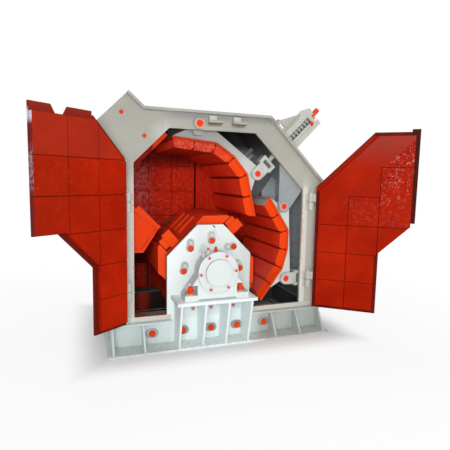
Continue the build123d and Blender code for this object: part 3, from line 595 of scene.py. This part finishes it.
def knuckleMarks(paint):  # the hinge knuckles were painted with the frame, the lap strip is dark
    around = paint.node("ShaderNodeCombineXYZ", {}, {0: paint.x, 1: abs(paint.y)})
    for x in (leftPin[0], rightPin[0]):
        near = paint.vector("DISTANCE", around, (x, abs(leftPin[1]), 0), "Value")
        paint.over(paint.fade(near, 0.06, 0.066), (0.62, 0.62, 0.57))
    lap = paint.z - paint.along(paint.place, rightWay, rightPin) - 1.4178
    inner = paint.along(paint.facing, (rightWay[1], -rightWay[0], 0)) > 0.5
    lap = paint.band(lap, -0.02, 0.06) * (paint.x > 0.9) * (paint.z > 1.51) * (paint.z < 2.06) * inner
    paint.over(lap, (0.4, 0.014, 0.002))
    strip = paint.along(paint.place, rightWay, rightPin) > 0.936
    paint.over(strip * 0.8, (0.05, 0.012, 0.008))


def steelPaint(name, look):
    paint = Paint(name)
    edge = paint.edges(0.003)
    paint.fine, broad = paint.noise(45, 5, 0.6), paint.noise(6, 4)
    paint.colour = paint.mix(paint.ease(broad, 0.3, 0.7), look["light"], look["dull"])
    paint.over(paint.ease(paint.fine, 0.55, 0.75) * 0.5, look["dirt"])
    # painted highlight along the edges
    paint.over(edge * 0.4, look["rim"])
    for x, z, radius in look.get("dabs", ()):  # orange dabs on the pin ends, with the lathe centre left dark
        dab = paint.fade(paint.away(x, z), radius - 0.002, radius)
        paint.over(paint.front * dab, paint.mix(paint.fine * 0.4, (0.92, 0.062, 0.01), (0.7, 0.035, 0.006)))
        centre = paint.fade(paint.away(x, z), 0.005, 0.008, 0.7)
        paint.over(paint.front * centre, (0.4, 0.02, 0.01))
    rough = look.get("rough", 0.35) + 0.25 * paint.fine
    grain = paint.noise(160, 3) * 0.2 + broad * 0.4
    return paint.finish(rough, paint.bump(grain, 0.15, 0.002), Metallic=look.get("metal", 0.0),
                        Specular_IOR_Level=0.1)


frameLook = dict(light=(0.45, 0.445, 0.385), dull=(0.38, 0.375, 0.33), dirt=(0.27, 0.24, 0.19), runs=0.2, grime=0.1,
                 dust=0.35, rim=(0.7, 0.7, 0.66), marks=(frameMarks, bareInside))
baseLook = dict(light=(0.75, 0.855, 0.85), dull=(0.67, 0.745, 0.735), dirt=(0.47, 0.44, 0.38), runs=0.25,
                grime=0.12, dust=0.35, chips=0.15, rim=(0.86, 0.88, 0.86), marks=(baseMarks,))
shieldLook = dict(light=(0.8, 0.875, 0.86), dull=(0.74, 0.81, 0.795), dirt=(0.58, 0.56, 0.5), runs=0.15,
                  grime=0.08, dust=0.35, chips=0.1, rim=(0.92, 0.94, 0.92), marks=(shieldMarks,))
coverLook = dict(shieldLook, light=(0.74, 0.81, 0.8), dull=(0.7, 0.765, 0.755), edge=0.006, rim=(0.45, 0.48, 0.48),
                 rimmed=0.65, marks=(sideShadeMarks,))
bearingLook = dict(shieldLook, rim=(0.55, 0.58, 0.58), rimmed=0.4, marks=(flankShadeMarks,))
# a near-black rim colour: painted shade around the edges of the washers and key plates
washerLook = dict(shieldLook, rim=(0.1, 0.1, 0.1), rimmed=1.0, edge=0.007, marks=())
apronLook = dict(light=(0.66, 0.665, 0.625), dull=(0.56, 0.565, 0.535), dirt=(0.24, 0.21, 0.18), runs=0.25,
                 grime=0.2, dust=0.3, rim=(0.7, 0.72, 0.71))
fittingLook = dict(light=(0.66, 0.66, 0.61), dull=(0.55, 0.55, 0.5), dirt=(0.33, 0.29, 0.23), runs=0.2, grime=0.15,
                   dust=0.4, rim=(0.85, 0.85, 0.8))
boxLook = dict(frameLook, chips=0.0, edge=0.002, dust=0.1, peel=0.02, light=(0.56, 0.555, 0.49),
               dull=(0.48, 0.475, 0.42))
frameWhite = whitePaint("frameWhite", frameLook)
upperBoxWhite = whitePaint("upperBoxWhite", dict(boxLook, marks=(boxMarks(upperRod, 45, 0.799),)))
lowerBoxWhite = whitePaint("lowerBoxWhite", dict(boxLook, marks=(boxMarks(lowerRod, 0, 0.684),)))
baseWhite = whitePaint("baseWhite", baseLook)
shieldWhite = whitePaint("shieldWhite", shieldLook)
coverWhite = whitePaint("coverWhite", coverLook)
bearingWhite = whitePaint("bearingWhite", bearingLook)
washerGrey = whitePaint("washerGrey", dict(washerLook, light=(0.4, 0.43, 0.42), dull=(0.32, 0.34, 0.34)))
washerWhite = whitePaint("washerWhite", dict(washerLook, light=(0.66, 0.71, 0.7), dull=(0.58, 0.62, 0.61)))
latchWhite = whitePaint("latchWhite", dict(frameLook, marks=(latchMarks,), dust=0.9, dustColour=(0.42, 0.33, 0.22)))
apronGrey = whitePaint("apronGrey", dict(apronLook, marks=(apronMarks,)))
fittingWhite = whitePaint("fittingWhite", fittingLook)
bracketGrey = whitePaint("bracketGrey", dict(apronLook, light=(0.34, 0.365, 0.365), dull=(0.28, 0.3, 0.3)))

tileTone = dict(deep=(0.36, 0.011, 0.0012), bright=(0.5, 0.019, 0.002), joint=0.6, worn=0.25)
leftTileRed = redPaint("leftTileRed", dict(
    tileTone, cell=(leftPin, leftWay, 0.072, 0.28), marks=(leftTileMarks, leftEdgeMarks)))
rightTileRed = redPaint("rightTileRed", dict(
    tileTone, cell=(rightPin, rightWay, 0.089, 0.2927), marks=(rightTileMarks,)))
rearTileRed = redPaint("rearTileRed", dict(
    deep=(0.5, 0.017, 0.005), bright=(0.68, 0.03, 0.008), joint=0.55, worn=0.25, lumps=1.3, relief=0.5,
    cell=((-0.868, 0, 0), (1, 0, 0), 0.0, 0.289), marks=(rearTileMarks,)))
plateRed = redPaint("plateRed", dict(
    deep=(0.12, 0.009, 0.006), bright=(0.19, 0.014, 0.009), lumps=0.5, worn=0.3, rim=(0.36, 0.03, 0.015),
    marks=(lugMarks, leftEdgeMarks, knuckleMarks)))
linerRed = redPaint("linerRed", dict(
    deep=(0.5, 0.024, 0.006), bright=(0.68, 0.045, 0.012), stroke=(1, 6, 1), edge=0.01, joint=0.35, worn=0.9,
    rim=(0.95, 0.3, 0.2), ends=(0.82, 0.056, 0.01)))
chamberRed = redPaint("chamberRed", dict(
    deep=(0.16, 0.006, 0.003), bright=(0.3, 0.012, 0.005), worn=0.2, marks=(chuteEndMarks,)))
blockRed = redPaint("blockRed", dict(
    deep=(0.82, 0.04, 0.014), bright=(1.0, 0.062, 0.021), ends=(0.9, 0.068, 0.006), lumps=1.4, relief=0.5,
    joint=0.5, edge=0.008, marks=(blockMarks,)))
rotorRed = redPaint("rotorRed", dict(
    deep=(0.78, 0.032, 0.008), bright=(1.0, 0.06, 0.014), ends=(0.94, 0.082, 0.018), stroke=(1, 5, 1), joint=0.6,
    edge=0.009))
backingRed = redPaint("backingRed", dict(
    deep=(0.4, 0.018, 0.006), bright=(0.6, 0.03, 0.01), ends=(0.9, 0.07, 0.01), edge=0.008, joint=0.9,
    worn=0.1, marks=(backingMarks,)))
barOrange = redPaint("barOrange", dict(
    deep=(0.4, 0.018, 0.005), bright=(0.62, 0.036, 0.009), ends=(0.92, 0.078, 0.012), stroke=(1, 5, 1), joint=0.7,
    edge=0.008))
boltOrange = redPaint("boltOrange", dict(
    deep=(0.84, 0.05, 0.008), bright=(0.96, 0.075, 0.012), edge=0.002, rim=(1.0, 0.16, 0.05), lumps=0.3,
    relief=0.15))
rodGrey = steelPaint("rodGrey", dict(
    light=(0.6, 0.61, 0.58), dull=(0.48, 0.49, 0.47), dirt=(0.16, 0.13, 0.11), rim=(0.6, 0.6, 0.58)))
pinDabs = [(pin[0], pin[2], 0.034) for pin in (upperRod, lowerPivot, lowerRod)]
pinDabs.append((upperPivot[0], upperPivot[2], 0.037))
pinSteel = steelPaint("pinSteel", dict(
    light=(0.66, 0.67, 0.65), dull=(0.55, 0.56, 0.54), dirt=(0.25, 0.21, 0.18), rim=(0.8, 0.8, 0.78), dabs=pinDabs))
shaftSteel = steelPaint("shaftSteel", dict(
    light=(0.56, 0.56, 0.55), dull=(0.45, 0.45, 0.44), dirt=(0.2, 0.17, 0.14), rim=(0.75, 0.75, 0.74), metal=0.9,
    rough=0.25))
springGrey = steelPaint("springGrey", dict(
    light=(0.62, 0.63, 0.6), dull=(0.52, 0.53, 0.5), dirt=(0.12, 0.1, 0.09), rim=(0.65, 0.65, 0.62)))

wears = {
    frameWhite: ["side_frames", "left_end_wall", "chute_floor", "hood_top", "roof_plate", "sloped_wall",
                 "right_end_wall"],
    upperBoxWhite: ["upper_spring_boxes"],
    lowerBoxWhite: ["lower_spring_boxes"],
    baseWhite: ["base_side_beams", "base_end_beams", "bearing_pedestals"],
    shieldWhite: ["rotor_shields"],
    bearingWhite: ["bearing_housings"],
    coverWhite: ["bearing_covers"],
    apronGrey: ["upper_apron_frame", "lower_apron_frame"],
    bracketGrey: ["apron_brackets"],
    fittingWhite: ["hinge_posts"],
    latchWhite: ["door_latches"],
    leftTileRed: ["left_door_tiles"],
    rightTileRed: ["right_door_tiles"],
    rearTileRed: ["rear_door_tiles"],
    plateRed: ["left_door_plate", "right_door_plate", "rear_doors"],
    linerRed: ["feed_lip"],
    chamberRed: ["chute_liner", "inlet_side_liners", "shield_liners"],
    blockRed: ["upper_apron_blocks", "lower_apron_blocks"],
    backingRed: ["upper_apron_backing", "lower_apron_backing"],
    rotorRed: ["rotor_body"],
    barOrange: ["blow_bars", "bar_wedges"],
    rodGrey: ["upper_rods", "lower_rods"],
    pinSteel: ["upper_apron_pins", "lower_apron_pins"],
    shaftSteel: ["rotor_shaft"],
}
for paint, names in wears.items():
    for name in names:
        nodes[name].data.materials.clear()
        nodes[name].data.materials.append(paint)
print("finishes on the solids")

# bolts of the rotor shield, each on a plate with a second lobe
shieldBolt = dict(places=[(-0.346, 0.939, 88), (-0.1295, 1.011, 92), (0.0985, 0.943, 180), (0.171, 0.7215, 112),
                          (-0.4135, 0.719, 78)],
                  plate=0.038, lobe=0.056, thick=0.014, ring=0.024, ringHigh=0.007, hole=0.013, sunk=0.005,
                  collar=0.035, collarHigh=0.005, radius=0.028, height=0.03)


def keyPlate(look):
    high = look["thick"]
    plate = cylinder("keyPlate", look["plate"], high, 32)
    shift(plate, lambda point: point.x > 0.001, (look["lobe"], 0, 0))
    roundEdges(plate, lambda a, b: min(a.z, b.z) > high - hair, 0.003)
    ring = cylinder("ring", look["ring"], look["ringHigh"], 24, high)
    pickFaces(ring, top(high + look["ringHigh"]))
    bpy.ops.mesh.inset(thickness=look["ring"] - look["hole"])
    bpy.ops.transform.translate(value=(0, 0, -look["sunk"]))
    leave()
    settle(ring, (look["lobe"], 0, 0))
    collar = stepped("collar", look["collar"], look["collarHigh"], 32, [(0.003, 0.92)], high)
    return merge([plate, ring, collar], "keyPlate")


spots = [((x, face, z), (math.pi / 2, -math.radians(angle), 0)) for x, z, angle in shieldBolt["places"]]
fasten(keyPlate(shieldBolt), spots, "shieldBoltPlates", washerWhite)
head = dome("head", shieldBolt["radius"], shieldBolt["height"], base=shieldBolt["thick"] + 0.008)
fasten(head, spots, "shieldBolts", boltOrange, 60)

# bolts through the base web, on eye-shaped washers, and the small ones above them
webBolt = dict(xs=(-0.715, -0.412, -0.125, 0.152, 0.458), z=0.128, radius=0.031, height=0.034, washer=0.043,
               ear=0.016, thick=0.012)
washer = cylinder("washer", webBolt["washer"], webBolt["thick"], 32)
for side in (-1, 1):
    shift(washer, lambda point: point.x * side > 0.001, (side * webBolt["ear"], 0, 0))
pickFaces(washer, top(webBolt["thick"]))
pull(0.003, 0.9)
leave()
spots = [((x, face, webBolt["z"]), toFront) for x in webBolt["xs"]]
fasten(washer, spots, "webBoltWashers", washerGrey)
head = dome("head", webBolt["radius"], webBolt["height"], base=webBolt["thick"])
fasten(head, spots, "webBolts", boltOrange, 60)

footBolt = dict(xs=(-0.31, -0.123, 0.1135), z=0.335, radius=0.013, height=0.012, washer=0.024, thick=0.005)
washer = stepped("washer", footBolt["washer"], footBolt["thick"], 24, [(0.002, 0.9)])
spots = [((x, face, footBolt["z"]), toFront) for x in footBolt["xs"]]
fasten(washer, spots, "footBoltWashers", washerWhite)
head = hexNut("head", footBolt["radius"], footBolt["height"], footBolt["thick"])
fasten(head, spots, "footBolts", boltOrange)
print("shield and base bolts")

# bearing: cover bolts, hold-down bolts and the fittings on top
coverBolt = dict(ring=0.172, first=4, count=6, face=-0.81, radius=0.0125, height=0.012, washer=0.02, thick=0.004)
washer = stepped("washer", coverBolt["washer"], coverBolt["thick"], 24, [(0.0015, 0.92)])
spots = []
for i in range(coverBolt["count"]):
    angle = math.radians(coverBolt["first"] + 360 / coverBolt["count"] * i)
    place = (axis[0] + coverBolt["ring"] * math.cos(angle), coverBolt["face"],
             axis[1] + coverBolt["ring"] * math.sin(angle))
    spots.append((place, (math.pi / 2, angle, 0)))
fasten(washer, spots, "coverBoltWashers", coverWhite)
head = hexNut("head", coverBolt["radius"], coverBolt["height"], coverBolt["thick"])
fasten(head, spots, "coverBolts", boltOrange)

# bearing bodies, with the pockets of their bolts open to the front
body = dict(front=-0.785, back=-0.625, radius=0.182, reach=0.315, crown=0.0346, top=0.9237, sole=0.485, foot=0.535,
            relief=0.495, pad=0.185, bolt=0.25, boltY=-0.725, pocket=0.056, deep=0.095, bore=0.0752, spare=0.01)


def acrossSlab(name, half, low, high, spare=0.0):
    return slab(name, (axis[0] - half, body["front"] - spare, low), (axis[0] + half, body["back"] + spare, high))


def acrossRod(name, radius, sides, spare=0.0):
    rod = cylinder(name, radius, body["back"] - body["front"] + 2 * spare, sides)
    return settle(rod, (axis[0], body["back"] + spare, axis[1]), toFront)


bearing = acrossSlab("bearingBodies", body["reach"], body["foot"], body["top"])
swell(bearing, lambda point: point.z > body["top"] - hair, (body["crown"] / body["reach"], 1, 1),
      (axis[0], 0, body["top"]))
carve(bearing, acrossRod("ring", body["radius"], 96), "UNION")
carve(bearing, acrossSlab("foot", body["reach"], body["sole"], body["foot"]), "UNION")
carve(bearing, acrossSlab("relief", body["pad"], body["sole"] - body["spare"], body["relief"], body["spare"]))
for side in (-1, 1):
    pocket = cylinder("pocket", body["pocket"], body["deep"], 48)
    shift(pocket, lambda point: point.y < -0.001, (0, -0.1, 0))
    carve(bearing, settle(pocket, (axis[0] + side * body["bolt"], body["boltY"], body["foot"])))
carve(bearing, acrossRod("hole", body["bore"], 64, body["spare"]))
bearing = onBoth(bearing, bearingWhite)
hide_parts("bearing_housings")

holdDown = dict(washer=0.042, thick=0.008, nut=0.037, height=0.034, bolt=0.025, end=0.042, sunk=0.004, turn=0.3)
washer = stepped("washer", holdDown["washer"], holdDown["thick"], 32, [(0.002, 0.94)])
spots = [((axis[0] + side * body["bolt"], body["boltY"], body["foot"]), (0, 0, holdDown["turn"] * side))
         for side in (-1, 1)]
fasten(washer, spots, "holdDownWashers", washerWhite)
nut = hexNut("nut", holdDown["nut"], holdDown["height"], holdDown["thick"])
end = dome("end", holdDown["bolt"], holdDown["end"], base=holdDown["thick"] + holdDown["height"] - holdDown["sunk"])
fasten(merge([nut, end], "bolt"), spots, "holdDownBolts", boltOrange, 40)

fitting = dict(y=-0.705, boss=(-0.2147, 0.9), plug=(-0.0915, 0.91), nipple=(-0.138, 0.924), tip=0.948)
eyeBolt = dict(x=-0.262, foot=0.875, ring=0.027, bar=0.009, eye=0.955, shank=0.013)


def onTop(piece, x, z, turn=(0, 0, 0)):
    return settle(piece, (x, fitting["y"], z), turn)


unpick()
bpy.ops.mesh.primitive_torus_add(major_radius=eyeBolt["ring"], minor_radius=eyeBolt["bar"], major_segments=32,
                                 minor_segments=12)
eye = bpy.context.object
swell(eye, lambda point: point.y < -eyeBolt["ring"] * 0.7, (1.35, 1.0, 1.3),
      (0, -eyeBolt["ring"], 0))  # thicker where it meets the shank
shank = cylinder("shank", eyeBolt["shank"], eyeBolt["eye"] - eyeBolt["ring"] - eyeBolt["foot"], 20)
pickFaces(shank, lambda centre, normal: normal.z < -0.9)
pull(-0.006, 1.7)
leave()
fittings = [onTop(eye, eyeBolt["x"], eyeBolt["eye"], toFront), onTop(shank, eyeBolt["x"], eyeBolt["foot"]),
            onTop(dome("boss", 0.02, 0.05), *fitting["boss"]), onTop(dome("plug", 0.016, 0.04), *fitting["plug"])]
onBoth(merge(fittings, "bearingFittings"), washerWhite)
nipple = stepped("nipple", 0.02, 0.018, 6, ((0.002, 0.8), (0.014, 0.75), (0.004, 1.2), (0.01, 0.7), (0.004, 0.5)))
nipples = [onTop(nipple, *fitting["nipple"]), onTop(dome("tip", 0.0135, 0.018), fitting["boss"][0], fitting["tip"])]
onBoth(merge(nipples, "bearingNipples"), boltOrange, 50)
print("bearing fittings")

# studs that hold the inlet side liners, with their nuts inside
stud = dict(places=[(-0.985, 2.185), (-0.783, 1.989)], radius=0.0185, height=0.018, inner=(-0.586, 2.008),
            inside=-0.48, nut=0.017, nutHeight=0.016)
head = dome("head", stud["radius"], stud["height"], 20)
fasten(head, [((x, face, z), toFront) for x, z in stud["places"]], "linerStuds", boltOrange, 60)
spots = [((x, stud["inside"], z), (-math.pi / 2, 0, 0)) for x, z in stud["places"] + [stud["inner"]]]
fasten(hexNut("nut", stud["nut"], stud["nutHeight"]), spots, "linerStudNuts", boltOrange)

# hinge pin heads
hinge = dict(xs=(leftPin[0], rightPin[0]), y=leftPin[1], tops=(0.645, 1.475), radius=0.022)
head = stepped("head", hinge["radius"], 0.008, 24, ((0.004, 0.86), (0.0, 0.4), (0.008, 0.8)))
spots = [((x, hinge["y"], z), (0, 0, 0)) for x in hinge["xs"] for z in hinge["tops"]]
fasten(head, spots, "hingePinHeads", fittingWhite)

# hinge leaves on the frame, behind the fixed knuckles and beside the moving ones
leaf = dict(parts=[(-0.972, -0.909, 0.172, 0.086), (0.909, 1.015, 0.172, 0.086), (0.909, 0.9215, 0.0862, 0.002)],
            thick=0.008, corner=0.004)
leaves = []
for high in hinge["tops"]:
    for x0, x1, under, over in leaf["parts"]:
        plate = slab("leaf", (x0, face - leaf["thick"], high - under), (x1, face, high - over))
        roundEdges(plate, lambda a, b: max(a.y, b.y) < face - leaf["thick"] / 2, leaf["corner"])
        leaves.append(plate)
onBoth(merge(leaves, "hingeLeaves"), fittingWhite)

# trapezoid bearing blocks of the upper pivot, inside the frame plates, with a pad that clears the shut door
pivotBlock = dict(low=2.026, half=0.09, foot=0.036, near=-0.494, far=-0.466, plate=-0.505, seat=2.078, high=2.18)


def pivotSlab(name, near, far, low):
    return slab(name, (upperPivot[0] - pivotBlock["half"], near, low),
                (upperPivot[0] + pivotBlock["half"], far, pivotBlock["high"]))


block = pivotSlab("pivotBlock", pivotBlock["near"], pivotBlock["far"], pivotBlock["low"])
swell(block, lambda point: point.z < pivotBlock["low"] + hair, (pivotBlock["foot"] / pivotBlock["half"], 1, 1),
      (upperPivot[0], pivotBlock["near"], pivotBlock["low"]))
roundEdges(block, lambda a, b: abs(a.y - b.y) > 0.01, 0.008, 3)
pad = pivotSlab("pad", pivotBlock["plate"], pivotBlock["near"] + 0.001, pivotBlock["seat"])
roundEdges(pad, lambda a, b: abs(a.y - b.y) > 0.005, 0.006)
onBoth(merge([block, pad], "pivotBlock"), apronGrey)

# corner bolts of the feed lip's end panels
lipBolt = dict(places=((-0.925, 1.385), (-0.925, 0.945), (-0.7, 1.14)), face=-0.473, radius=0.011, height=0.009)
head = dome("head", lipBolt["radius"], lipBolt["height"], 16)
spots = [((x, lipBolt["face"], z), toFront) for x, z in lipBolt["places"]]
fasten(head, spots, "feedLipBolts", boltOrange, 60)
print("small fittings")

# adjusters: coil springs, end nuts with their threads, and tie rod nuts
adjuster = {
    "upper": dict(pin=upperRod, angle=45.0, wall=0.4759),
    "lower": dict(pin=lowerRod, angle=0.0, wall=0.361),
}
coil = dict(radius=0.056, wire=0.0095, turns=7, length=0.324, y=-0.44)
rodEnd = dict(nutAt=0.374, nut=0.0465, nutHeight=0.05, rod=0.025, tail=0.085, pitch=0.006, crest=1.08)
tieNut = dict(at=0.294, radius=0.0265, height=0.03, side=0.028, depth=0.088, sleeve=0.0165, short=0.012)


def closeEnds(piece):
    pickOnly(piece)
    edit()
    bpy.ops.mesh.select_mode(type="VERT")
    bpy.ops.mesh.select_all(action="SELECT")
    bpy.ops.mesh.remove_doubles(threshold=0.00005)
    bpy.ops.mesh.select_all(action="SELECT")
    bpy.ops.mesh.fill_holes(sides=0)
    bpy.ops.mesh.select_all(action="SELECT")
    bpy.ops.mesh.normals_make_consistent(inside=False)
    leave()
    return piece


def coilSpring(name):
    unpick()
    bpy.ops.mesh.primitive_circle_add(vertices=12, radius=coil["wire"], location=(coil["radius"], 0, coil["wire"]),
                                      rotation=toFront, fill_type="NOTHING")
    piece = named(name)
    screw = piece.modifiers.new("screw", "SCREW")
    screw.axis, screw.iterations, screw.steps, screw.render_steps = "Z", coil["turns"], 28, 28
    screw.screw_offset = (coil["length"] - 2 * coil["wire"]) / coil["turns"]
    bpy.ops.object.modifier_apply(modifier="screw")
    return closeEnds(piece)


def thread(name, radius, length):
    pitch, crest = rodEnd["pitch"], rodEnd["crest"]
    piece = cylinder(name, radius, pitch / 2, 24, fill="NOTHING")
    swell(piece, lambda point: point.z > pitch / 4, (crest, crest, 1))
    pickEdges(piece, lambda a, b: min(a.z, b.z) > pitch / 4)
    pull(pitch / 2, 1 / crest)
    leave()
    repeat(piece, pitch, int(length / pitch))
    return closeEnds(piece)


def onRod(piece, part, at, side=0.0, depth=0.0):  # from along +Z to along the rod, seen from its wall
    angle = math.radians(part["angle"])
    way, across = Vector((math.cos(angle), 0, math.sin(angle))), Vector((-math.sin(angle), 0, math.cos(angle)))
    place = Vector(part["pin"]) + way * (part["wall"] + at) + across * side
    place.y = coil["y"] + depth
    return settle(piece, place, (0, math.pi / 2 - angle, 0))


for name, part in adjuster.items():
    spring = onBoth(onRod(coilSpring(name + "CoilSprings"), part, 0.0), springGrey, 60)
    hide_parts(name + "_springs")
    nut = hexNut("nut", rodEnd["nut"], rodEnd["nutHeight"] + 0.002)
    tail = thread("tail", rodEnd["rod"], rodEnd["tail"])
    cap = dome("cap", rodEnd["rod"] * 0.96, 0.008, base=rodEnd["tail"] - 0.004)
    end = merge([settle(piece, (0, 0, rodEnd["nutHeight"])) for piece in (tail, cap)] + [nut], name + "RodNuts")
    finishPiece(alsoBehind(onRod(end, part, rodEnd["nutAt"])), boltOrange, name + "_rods")
    ties = [onRod(hexNut("nut", tieNut["radius"], tieNut["height"]), part, tieNut["at"] - 0.001,
                  side * tieNut["side"], side * tieNut["depth"]) for side in (-1, 1)]
    sleeve = stepped(name + "TieSleeves", tieNut["sleeve"], tieNut["at"] - tieNut["short"], 24, [(0.004, 0.9)])
    onBoth(onRod(sleeve, part, 0.004, -tieNut["side"], -tieNut["depth"]), springGrey, 50)
    onBoth(merge(ties, name + "TieNuts"), boltOrange)
print("adjusters")

# weld beads along the base ribs and the frame's edges and hinges
bead = dict(pitch=0.007, radius=0.0055, thin=0.004, sides=8, taper=0.78)
rib = dict(base=[-1.085, -0.805, 1.085, 0.805, 0.525], table=[axis[0] + x for x in (-0.348, -0.116, 0.116, 0.348)],
           half=0.01, flange=0.02, lip=0.23, under=0.455, flangeDeep=0.185, tableDeep=0.28)
eave = dict(z=2.222, left=-0.77, corner=(0.455, 0.462), low=(1.07, 1.612))


def weld(start, end, radius=bead["radius"]):
    line = Vector(end) - Vector(start)
    ripple = cylinder("weld", radius, bead["pitch"], bead["sides"], fill="NOTHING")
    swell(ripple, lambda point: point.z > bead["pitch"] / 2, (bead["taper"], bead["taper"], 1))
    repeat(ripple, bead["pitch"], max(2, round(line.length / bead["pitch"])))
    return settle(ripple, start, line.to_track_quat("Z", "Y").to_euler())


seams = []
for ribs, high in ((rib["base"], rib["lip"]), (rib["table"], rib["under"])):
    for x in [middle + side for middle in ribs for side in (-rib["half"], rib["half"])]:
        foot = (x, face, rib["flange"])
        seams += [weld(foot, (x, face, high)), weld(foot, (x, face - rib["flangeDeep"], rib["flange"]))]
        if high == rib["under"]:
            seams.append(weld((x, face, high), (x, face - rib["tableDeep"], high)))
onBoth(merge(seams, "baseWelds"), baseWhite, 50)
seams = [weld((eave["left"], face, eave["z"]), (eave["corner"][0], face, eave["z"])),
         weld((eave["corner"][1], face, eave["z"]), (eave["low"][0], face, eave["low"][1]))]
for x in hinge["xs"]:
    for z in hinge["tops"]:
        for side in (-0.03, 0.03):
            seams.append(weld((x + side, face, z - 0.17), (x + side, face, z - 0.088), bead["thin"]))
onBoth(merge(seams, "frameWelds"), frameWhite, 50)
print("weld beads")

# floor, light and camera
stageLook = dict(floor=(0.9, 0.9, 0.9), ambient=0.36, white=0.85, inside=(1.12, 0.72), fade=(0.4, 3.0))


def directRays(tree):  # 1 for the camera's own rays, also by way of gloss and glass
    rays = tree.nodes.new("ShaderNodeLightPath")
    seen = rays.outputs["Is Camera Ray"]
    for kind in ("Is Glossy Ray", "Is Transmission Ray"):
        strongest = tree.nodes.new("ShaderNodeMath")
        strongest.operation = "MAXIMUM"
        tree.links.new(seen, strongest.inputs[0])
        tree.links.new(rays.outputs[kind], strongest.inputs[1])
        seen = strongest.outputs[0]
    return seen


unpick()
bpy.ops.mesh.primitive_plane_add(size=80)
floor = bpy.context.object
floor.name = "studioFloor"
ground = Paint("floorWhite")
shown = Value(ground, directRays(ground.tree))
beyond = [abs(part) - half for part, half in zip((ground.x, ground.y), stageLook["inside"])]  # past the open base
beyond = shown.sum("MAXIMUM", *beyond)
near, far = stageLook["fade"]
shown = shown * (ground.ease(beyond, 0.0, near, stageLook["white"])
                 + ground.ease(beyond, near, far, 1 - stageLook["white"]))
matt = ground.node("ShaderNodeBsdfDiffuse", {}, {"Color": (*stageLook["floor"], 1)})
glow = ground.node("ShaderNodeEmission", {}, {"Color": (1, 1, 1, 1), "Strength": 1.0})
both = ground.node("ShaderNodeMixShader", {}, {0: shown, 1: matt, 2: glow})
ground.tree.links.new(both.socket, ground.tree.nodes["Material Output"].inputs["Surface"])
floor.data.materials.append(ground.material)

world = bpy.data.worlds.new("studio")
bpy.context.scene.world = world
world.use_nodes = True
tree = world.node_tree
level = tree.nodes.new("ShaderNodeMapRange")
tree.links.new(directRays(tree), level.inputs[0])
level.inputs[3].default_value = stageLook["ambient"]
level.inputs[4].default_value = 1.0
sky = tree.nodes["Background"]
sky.inputs["Color"].default_value = (1, 1, 1, 1)
tree.links.new(level.outputs[0], sky.inputs["Strength"])

lamps = [
    dict(name="keyLamp", place=(-2.2, -6.6, 2.2), aim=(0, 0, 1.1), size=3.0, power=215),
    dict(name="fillLamp", place=(4.2, -6.0, 3.6), aim=(0, 0, 1.0), size=4.0, power=70),
    dict(name="topLamp", place=(0.5, 0.5, 6.5), aim=(0, 0, 1.0), size=5.0, power=110),
    dict(name="backLamp", place=(0, 6.5, 4.0), aim=(0, 0, 1.2), size=4.0, power=160),
]
for look in lamps:
    lamp = bpy.data.lights.new(look["name"], "AREA")
    lamp.shape, lamp.size, lamp.energy = "DISK", look["size"], look["power"]
    holder = bpy.data.objects.new(look["name"], lamp)
    bpy.context.collection.objects.link(holder)
    holder.location = look["place"]
    holder.rotation_euler = (Vector(look["aim"]) - Vector(look["place"])).to_track_quat("-Z", "Y").to_euler()

lens = dict(place=(-1.32907, -4.2692, 1.6), yaw=19.724, pitch=6.345, roll=-1.097, focal=401.315, wide=450,
            sensor=36.0)  # fitted to the photograph, focal length and width in its pixels
yaw, pitch, roll = (math.radians(lens[key]) for key in ("yaw", "pitch", "roll"))
ahead = Vector((math.sin(yaw) * math.cos(pitch), math.cos(yaw) * math.cos(pitch), -math.sin(pitch)))
right = Vector((math.cos(yaw), -math.sin(yaw), 0))
down = ahead.cross(right)
rolledRight = right * math.cos(roll) + down * math.sin(roll)
rolledDown = down * math.cos(roll) - right * math.sin(roll)
camera = bpy.data.cameras.new("camera")
camera.sensor_fit, camera.sensor_width = "AUTO", lens["sensor"]
camera.lens = lens["sensor"] * lens["focal"] / lens["wide"]
camera.clip_end = 200
viewer = bpy.data.objects.new("camera", camera)
bpy.context.collection.objects.link(viewer)
turned = Matrix((rolledRight, -rolledDown, -ahead)).transposed().to_4x4()
turned.translation = lens["place"]
viewer.matrix_world = turned
bpy.context.scene.camera = viewer
bpy.context.scene.view_settings.view_transform = "Standard"
print("stage and camera")
